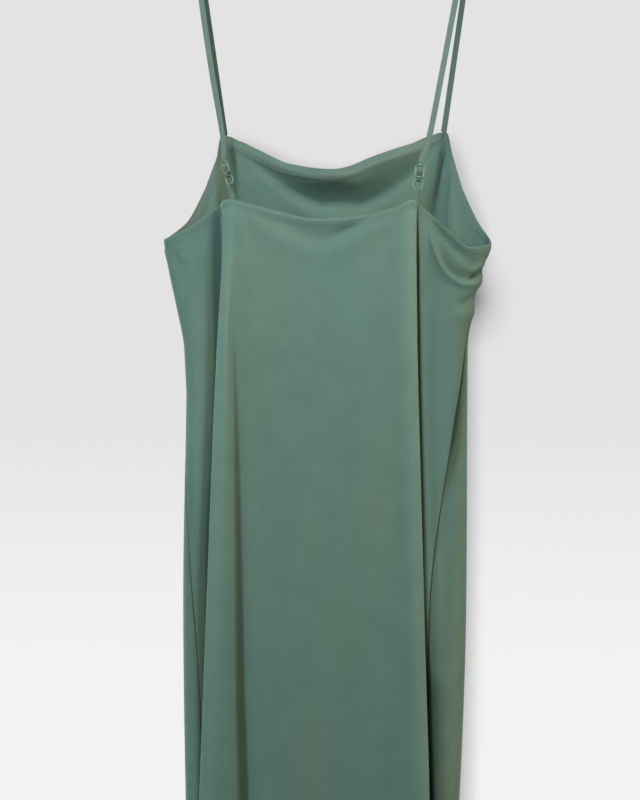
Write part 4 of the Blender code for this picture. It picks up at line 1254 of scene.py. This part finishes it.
def slider(side, look):
    """Oblong frame with a middle bar and two slots."""
    curve = new_curve("slider outline", "2D", SLIDER_BEVEL, 4)
    curve.fill_mode = "BOTH"
    curve.extrude = SLIDER_THICK / 2 - SLIDER_BEVEL
    oval(curve, 0, SLIDER_WIDTH / 2 - SLIDER_BEVEL, SLIDER_HEIGHT / 2 - SLIDER_BEVEL,
         SLIDER_CORNER, 16)
    slot = (SLIDER_HEIGHT - 3 * SLIDER_EDGE) / 2
    slot_half_width = SLIDER_WIDTH / 2 - SLIDER_EDGE + SLIDER_BEVEL
    for sign in (1, -1):
        oval(curve, sign * (slot + SLIDER_EDGE) / 2, slot_half_width, slot / 2 + SLIDER_BEVEL,
             SLOT_CORNER, 12)
    place = fitting_place(side) @ Matrix.Translation((0, -SLIDER_FORWARD, SLIDER_RISE))
    made = from_curve(f"slider_{side.name}_shown", curve, place @ Matrix.Rotation(pi / 2, 4, "X"))
    return finish_piece(made, look, "fittings", f"slider_{side.name}")


# ---- the hanger ----

def arm_line(x):
    """Height of the arms' top outline."""
    return NECK_TOP - ARM_SLOPE * (hypot(x, ARM_BEND) - ARM_BEND)


def hanger_outline():
    """Outline of the hanger's body from the front, with round tips."""
    tip = ARM_TIP / 2
    end = ARM_REACH - tip
    stations = [end * (part / 24) ** 1.5 for part in range(25)]
    outline = [(x, arm_line(x)) for x in stations]
    outline += [(end + x, arm_line(end) - tip + z) for x, z in arc(tip, pi / 2, -pi / 2, 14)[1:-1]]
    for x in reversed(stations):
        outline.append((x, arm_line(x) - ARM_TALL + (ARM_TALL - ARM_TIP) * x / end))
    mirrored = [(-x, z) for x, z in outline if x > 0]
    return outline + mirrored[::-1]


def cut(body, cutter, name):
    """Add a cut to a body, made by a hidden solid."""
    cutter.name = name
    hole = body.modifiers.new(name, "BOOLEAN")
    hole.object = cutter
    hole.solver = "EXACT"
    return cutter


def hanger_body(look):
    """Arms with rounded edges, cut from one outline, with strap notches and a stem hole."""
    solid = bmesh.new()
    face = solid.faces.new([solid.verts.new((x, -ARM_DEPTH / 2, z)) for x, z in hanger_outline()])
    pushed = bmesh.ops.extrude_face_region(solid, geom=[face])
    moved = [item for item in pushed["geom"] if isinstance(item, bmesh.types.BMVert)]
    bmesh.ops.translate(solid, verts=moved, vec=(0, ARM_DEPTH, 0))
    bmesh.ops.recalc_face_normals(solid, faces=solid.faces)
    mesh = bpy.data.meshes.new("hanger outline")
    solid.to_mesh(mesh)
    solid.free()
    rough = new_object("hanger outline", mesh)
    rounding = rough.modifiers.new("rounded edges", "BEVEL")
    rounding.width = ARM_EDGE
    rounding.segments = 7
    rounding.limit_method = "ANGLE"
    rounding.angle_limit = radians(60)
    bpy.ops.mesh.primitive_cylinder_add(vertices=48, radius=HOOK_WIRE + GAP, depth=2 * STEM_SUNK,
                                        location=(0, 0, NECK_TOP))
    cutters = [cut(rough, bpy.context.object, "stem hole")]
    for side, name in ((-1, "left notch"), (1, "right notch")):
        bpy.ops.mesh.primitive_cube_add(size=1, location=(side * NOTCH_X, 0,
                                                          NOTCH_TOP + NOTCH_LENGTH / 2))
        bpy.context.object.scale = (NOTCH_LENGTH, 2 * ARM_DEPTH, NOTCH_LENGTH)
        cutters.append(cut(rough, bpy.context.object, name))
    bpy.context.view_layer.update()
    shown = rough.evaluated_get(bpy.context.evaluated_depsgraph_get())
    made = new_object("hanger_arms", bpy.data.meshes.new_from_object(shown))
    for used in [rough, *cutters]:
        bpy.data.objects.remove(used, do_unlink=True)
    return finish_piece(smoothed(made, 35), look, "hanger_wood", "hanger_body")


def hanger_hook(look):
    """Wire hook: a stem, a bend and an arc round the rail's place at the origin."""
    radius = HOOK_INSIDE + HOOK_WIRE
    middle = -HOOK_INSIDE
    joint = (radius * cos(HOOK_START), middle + radius * sin(HOOK_START))
    points = [(0, NECK_TOP - STEM_SUNK + GAP), (0, NECK_TOP)]
    points += [(part * joint[0], joint[1] - below * MM) for part, below in HOOK_BEND]
    points += [(x, middle + z) for x, z in arc(radius, HOOK_START, HOOK_END, 66)]
    curve = new_curve("hook line", "3D", HOOK_WIRE, 6)
    curve.use_fill_caps = True
    add_line(curve, [(x, 0, z) for x, z in points], False)
    made = from_curve("hook_wire", curve, Matrix.Identity(4))
    return finish_piece(made, look, "hook_steel", "hanger_hook")


# ---- materials ----

def feed(tree, node, inputs):
    """Give a node's sockets constants, or link them to other nodes' outputs."""
    for socket, value in inputs.items():
        if isinstance(value, bpy.types.NodeSocket):
            tree.links.new(value, node.inputs[socket])
        else:
            node.inputs[socket].default_value = value


def add(tree, kind, inputs, **settings):
    """New node with these settings, its sockets fed with inputs."""
    made = tree.nodes.new("ShaderNode" + kind)
    for name, value in settings.items():
        setattr(made, name, value)
    feed(tree, made, inputs)
    return made


def noise(tree, place, scale, detail=2.0, roughness=0.5, distortion=0.0):
    """Soft noise over the coordinates of place; a scale of three numbers stretches them."""
    if isinstance(scale, tuple):
        place = add(tree, "Mapping", {"Vector": place, "Scale": scale}).outputs["Vector"]
        scale = 1.0
    inputs = {"Vector": place, "Scale": scale, "Detail": detail, "Roughness": roughness,
              "Distortion": distortion}
    return add(tree, "TexNoise", inputs).outputs["Fac"]


def share_added(tree, value, share, rest):
    """A share of one value, added to another."""
    inputs = {0: value, 1: share, 2: rest}
    return add(tree, "Math", inputs, operation="MULTIPLY_ADD").outputs["Value"]


def ranged(tree, value, **ends):
    """A value run from one range to another: from_min, from_max, to_min and to_max."""
    inputs = {name.replace("_", " ").title(): end for name, end in ends.items()}
    return add(tree, "MapRange", {"Value": value, **inputs}).outputs["Result"]


def ramp(tree, factor, stops, way="LINEAR"):
    """Colour read off a ramp of (place, colour) stops."""
    made = add(tree, "ValToRGB", {"Fac": factor})
    made.color_ramp.interpolation = way
    for i, (place, colour) in enumerate(stops):
        stop = made.color_ramp.elements[i] if i < 2 else made.color_ramp.elements.new(place)
        stop.position = place
        stop.color = (*colour, 1)
    return made.outputs["Color"]


def multiplied(tree, first, second):
    """First colour times the second."""
    inputs = {"Factor": 1.0, "A": first, "B": second}
    return add(tree, "Mix", inputs, data_type="RGBA", blend_type="MULTIPLY").outputs["Result"]


def bumped(tree, shader, height, strength, distance):
    """Small relief on a shader's surface."""
    inputs = {"Strength": strength, "Distance": distance, "Height": height}
    feed(tree, shader, {"Normal": add(tree, "Bump", inputs).outputs["Normal"]})


def new_material(name, constants):
    """New material, its node tree and its shader, with constants on the shader's own sockets."""
    made = bpy.data.materials.new(name)
    made.use_nodes = True
    shader = made.node_tree.nodes["Principled BSDF"]
    feed(made.node_tree, shader, constants)
    return made, made.node_tree, shader


def object_place(tree):
    """Coordinates in metres on the object itself."""
    return add(tree, "TexCoord", {}).outputs["Object"]


def knit_group():
    """Jersey: fine wales of the knit, a soft mottle, and a tint of its random hue times the painted
    shade and light of its measures.
    """
    tree = bpy.data.node_groups.new("jersey knit", "ShaderNodeTree")
    # The Tint output carries the random hue times the painted shade and light.
    for name, kind in (("Shade", "Float"), ("Height", "Float"), ("Tint", "Color")):
        tree.interface.new_socket(name, in_out="OUTPUT", socket_type="NodeSocket" + kind)
    cloth = add(tree, "UVMap", {}, uv_map="cloth").outputs["UV"]
    inputs = {"Vector": cloth, "Scale": KNIT_WALES, "Distortion": 0.6, "Detail": 1.0}
    wales = add(tree, "TexWave", inputs, wave_type="BANDS", bands_direction="X").outputs["Fac"]
    fine = share_added(tree, wales, 0.5, noise(tree, cloth, YARN_STRETCH, 3.0))
    mottled = share_added(tree, fine, 0.35, noise(tree, cloth, 26.0, 4.0, 0.6))
    drift = noise(tree, cloth, DRIFT_STRETCH)
    hue = share_added(tree, noise(tree, cloth, STREAK_STRETCH), 0.25, drift)
    hue_and_painted_shade = ramp(tree, hue, ((0.45, TEAL_CAST), (0.80, OLIVE_CAST)))
    # Painted shade and light from the measures, multiplied into the hue.
    for name, full, stops in PAINTED_SHADE_TINTS:
        measure = add(tree, "Attribute", {}, attribute_name=name).outputs["Fac"]
        part = ranged(tree, measure, from_min=-full, from_max=full)
        hue_and_painted_shade = multiplied(tree, hue_and_painted_shade, ramp(tree, part, stops, "EASE"))
    out = tree.nodes.new("NodeGroupOutput")
    feed(tree, out, {"Shade": mottled, "Height": fine, "Tint": hue_and_painted_shade})
    return tree


def jersey(name, knit, dark, light, relief):
    """Sage jersey with a soft bloom, painted shade in its hollows, painted highlights on its ridges
    and painted warm or cool light by the way it faces.
    """
    made, tree, shader = new_material(name, {
        "Roughness": 0.62, "Sheen Weight": SHEEN, "Sheen Roughness": 0.45,
        "Sheen Tint": (0.75, 0.9, 0.85, 1), "Specular IOR Level": 0.32})
    weave = add(tree, "Group", {}, node_tree=knit)
    plain = ramp(tree, weave.outputs["Shade"], ((0.45, dark), (1.0, light)))
    feed(tree, shader, {"Base Color": multiplied(tree, plain, weave.outputs["Tint"])})
    bumped(tree, shader, weave.outputs["Height"], relief, 0.15 * MM)
    return made


def flecked(name, constants, scale, detail, dark, light, worn=None):
    """Material with fine flecks of colour; worn is the range they give its roughness, if any."""
    made, tree, shader = new_material(name, constants)
    flecks = noise(tree, object_place(tree), scale, detail)
    feed(tree, shader, {"Base Color": ramp(tree, flecks, ((0.3, dark), (0.7, light)))})
    if worn:
        feed(tree, shader, {"Roughness": ranged(tree, flecks, to_min=worn[0], to_max=worn[1])})
    return made


def wood():
    """Pale sealed beech with grain along the arms."""
    made, tree, shader = new_material("pale wood", {"Coat Weight": 0.25, "Coat Roughness": 0.3})
    place = object_place(tree)
    stretched = add(tree, "Mapping", {"Vector": place, "Scale": GRAIN_STRETCH}).outputs["Vector"]
    grain = noise(tree, stretched, 2.6, 7.0, 0.62, 0.5)
    mixed = share_added(tree, noise(tree, place, PORE_STRETCH), 0.35, grain)
    colour = ramp(tree, mixed, ((0.45, BEECH[0]), (0.85, BEECH[1])))
    roughness = ranged(tree, mixed, to_min=0.34, to_max=0.55)
    feed(tree, shader, {"Base Color": colour, "Roughness": roughness})
    bumped(tree, shader, mixed, 0.15, 0.2 * MM)
    return made


def wall_paint():
    """Plain pale wall that glows, darker towards the top, clear from behind, with painted shadow
    where the dress hangs close to it and a painted soft shadow beside its right armhole.
    """
    made = bpy.data.materials.new("wall paint")
    made.use_nodes = True
    tree = made.node_tree
    tree.nodes.remove(tree.nodes["Principled BSDF"])
    place = object_place(tree)
    height = add(tree, "SeparateXYZ", {"Vector": place}).outputs["Y"]
    inputs = {"Value": height, "From Min": WALL_LOW, "From Max": WALL_HIGH}
    rise = add(tree, "MapRange", inputs, interpolation_type="SMOOTHSTEP").outputs["Result"]
    paint = ramp(tree, rise, ((0.0, WALL_LIGHT), (1.0, WALL_SHADE)))
    # Painted contact shadow: the glow is darkened where cloth is near.
    near = add(tree, "AmbientOcclusion", {"Distance": SHADE_REACH}, samples=32).outputs["AO"]
    painted_contact_shade = ranged(tree, near, from_min=SHADE_DARKEST, from_max=SHADE_CLEAR,
                      to_min=SHADE_FLOOR)
    # Painted soft shadow beside the dress's right armhole.
    spot = [-at / reach for at, reach in SIDE_SHADE] + [0]
    size = [1 / reach for at, reach in SIDE_SHADE] + [1]
    side = add(tree, "Mapping", {"Vector": place, "Location": spot, "Scale": size})
    painted_shadow_pool = add(tree, "TexGradient", {"Vector": side.outputs["Vector"]},
               gradient_type="QUADRATIC_SPHERE")
    dimmed = ramp(tree, painted_shadow_pool.outputs["Fac"], ((0.0, (1, 1, 1)), (1.0, SIDE_SHADE_COLOUR)))
    shaded = multiplied(tree, multiplied(tree, paint, painted_contact_shade), dimmed)
    glow = add(tree, "Emission", {"Color": shaded}).outputs["Emission"]
    clear = add(tree, "BsdfTransparent", {}).outputs["BSDF"]
    behind = add(tree, "NewGeometry", {}).outputs["Backfacing"]
    sides = add(tree, "MixShader", {"Fac": behind, 1: glow, 2: clear})
    feed(tree, tree.nodes["Material Output"], {"Surface": sides.outputs["Shader"]})
    return made


# ---- the room, the lights and the camera ----

def plane(name, size, place, look):
    """Flat square piece of the room."""
    bpy.ops.mesh.primitive_plane_add(size=size)
    made = bpy.context.object
    made.name = name
    made.matrix_world = place
    made.data.materials.append(look)
    return made


def room():
    """Pale floor, and a wall close behind the dress."""
    floor_paint = flecked("floor paint", {"Roughness": 0.85, "Emission Strength": 0.56,
                                          "Emission Color": (1, 1, 1, 1)}, 3.0, 2.0, *FLOOR_GREY)
    ground = plane("floor", FLOOR_SIZE, Matrix.Translation((0, 0, FLOOR)), floor_paint)
    upright = Matrix.Translation(WALL_MIDDLE) @ Matrix.Rotation(pi / 2, 4, "X")
    back = plane("wall", WALL_SIZE, upright, wall_paint())
    ground.visible_diffuse = False
    for kind in ("visible_shadow", "visible_diffuse", "visible_glossy", "visible_transmission"):
        setattr(back, kind, False)


def lights():
    """Soft room light, and six round soft lights aimed at the dress's upper half."""
    world = bpy.data.worlds.new("soft room")
    world.use_nodes = True
    tree = world.node_tree
    soft = tree.nodes["Background"]
    feed(tree, soft, {"Color": WORLD_COLOUR, "Strength": WORLD_LIGHT})
    seen = add(tree, "Background", {"Color": (*WALL_SHADE, 1)}).outputs["Background"]
    rays = add(tree, "LightPath", {}).outputs["Is Camera Ray"]
    which = add(tree, "MixShader", {"Fac": rays, 1: soft.outputs["Background"], 2: seen})
    feed(tree, tree.nodes["World Output"], {"Surface": which.outputs["Shader"]})
    bpy.context.scene.world = world
    for name, place, size, power, colour in LIGHTS:
        lamp = bpy.data.lights.new(name, "AREA")
        lamp.shape = "DISK"
        lamp.size = size
        lamp.energy = power
        lamp.color = colour
        made = new_object(name, lamp)
        made.location = place
        aim = Vector(LIGHTS_AIM) - made.location
        made.rotation_euler = aim.to_track_quat("-Z", "Y").to_euler()
        made.visible_camera = False


def camera():
    """Camera a little to the right of straight behind the dress, level with its middle."""
    right = Vector((cos(CAMERA_TURN), sin(CAMERA_TURN), 0))
    back = Vector((sin(CAMERA_TURN), -cos(CAMERA_TURN), 0))
    target = Vector(CAMERA_AIM) - right * CAMERA_ASIDE
    lens = bpy.data.cameras.new("camera")
    lens.lens = CAMERA_LENS
    lens.sensor_width = 36
    made = new_object("camera", lens)
    made.location = target + back * CAMERA_FAR
    made.rotation_euler = (target - made.location).to_track_quat("-Z", "Y").to_euler()
    bpy.context.scene.camera = made
    bpy.context.scene.view_settings.view_transform = "Standard"


def build():
    """All the pieces, in their materials."""
    knit = knit_group()
    soft = jersey("sage jersey", knit, *SAGE, CLOTH_RELIEF)
    trim = jersey("strap jersey", knit, *STRAP_SAGE, TRIM_RELIEF)
    stitch = flecked("thread", {"Roughness": 0.5}, 900.0, 2.0, *THREAD_SAGE)
    back = panel("back_panel", column_lines(0, RIGHT_SIDE), soft)
    front = panel("front_panel", column_lines(RIGHT_SIDE, LEFT_SIDE), soft)
    bands = [edge_band(name, start, end, depth, show, trim)
             for (name, depth, show), (start, end, under) in zip(BANDS, EDGE_STRETCHES)]
    edges = edge_stitches(stitch)
    hem = hem_stitches(stitch)
    metal = flecked("dyed lacquer", {"Coat Weight": 0.2, "Coat Roughness": 0.15}, 450.0, 3.0,
                    *LACQUER, worn=(0.22, 0.42))
    for side in SIDES:
        strap(side, trim)
        tab(side, trim)
        ring(side, metal)
        slider(side, metal)
    hanger_body(wood())
    hanger_hook(flecked("hook steel", {"Metallic": 1.0}, 420.0, 4.0, *STEEL, worn=(0.2, 0.36)))


build()
room()
lights()
camera()
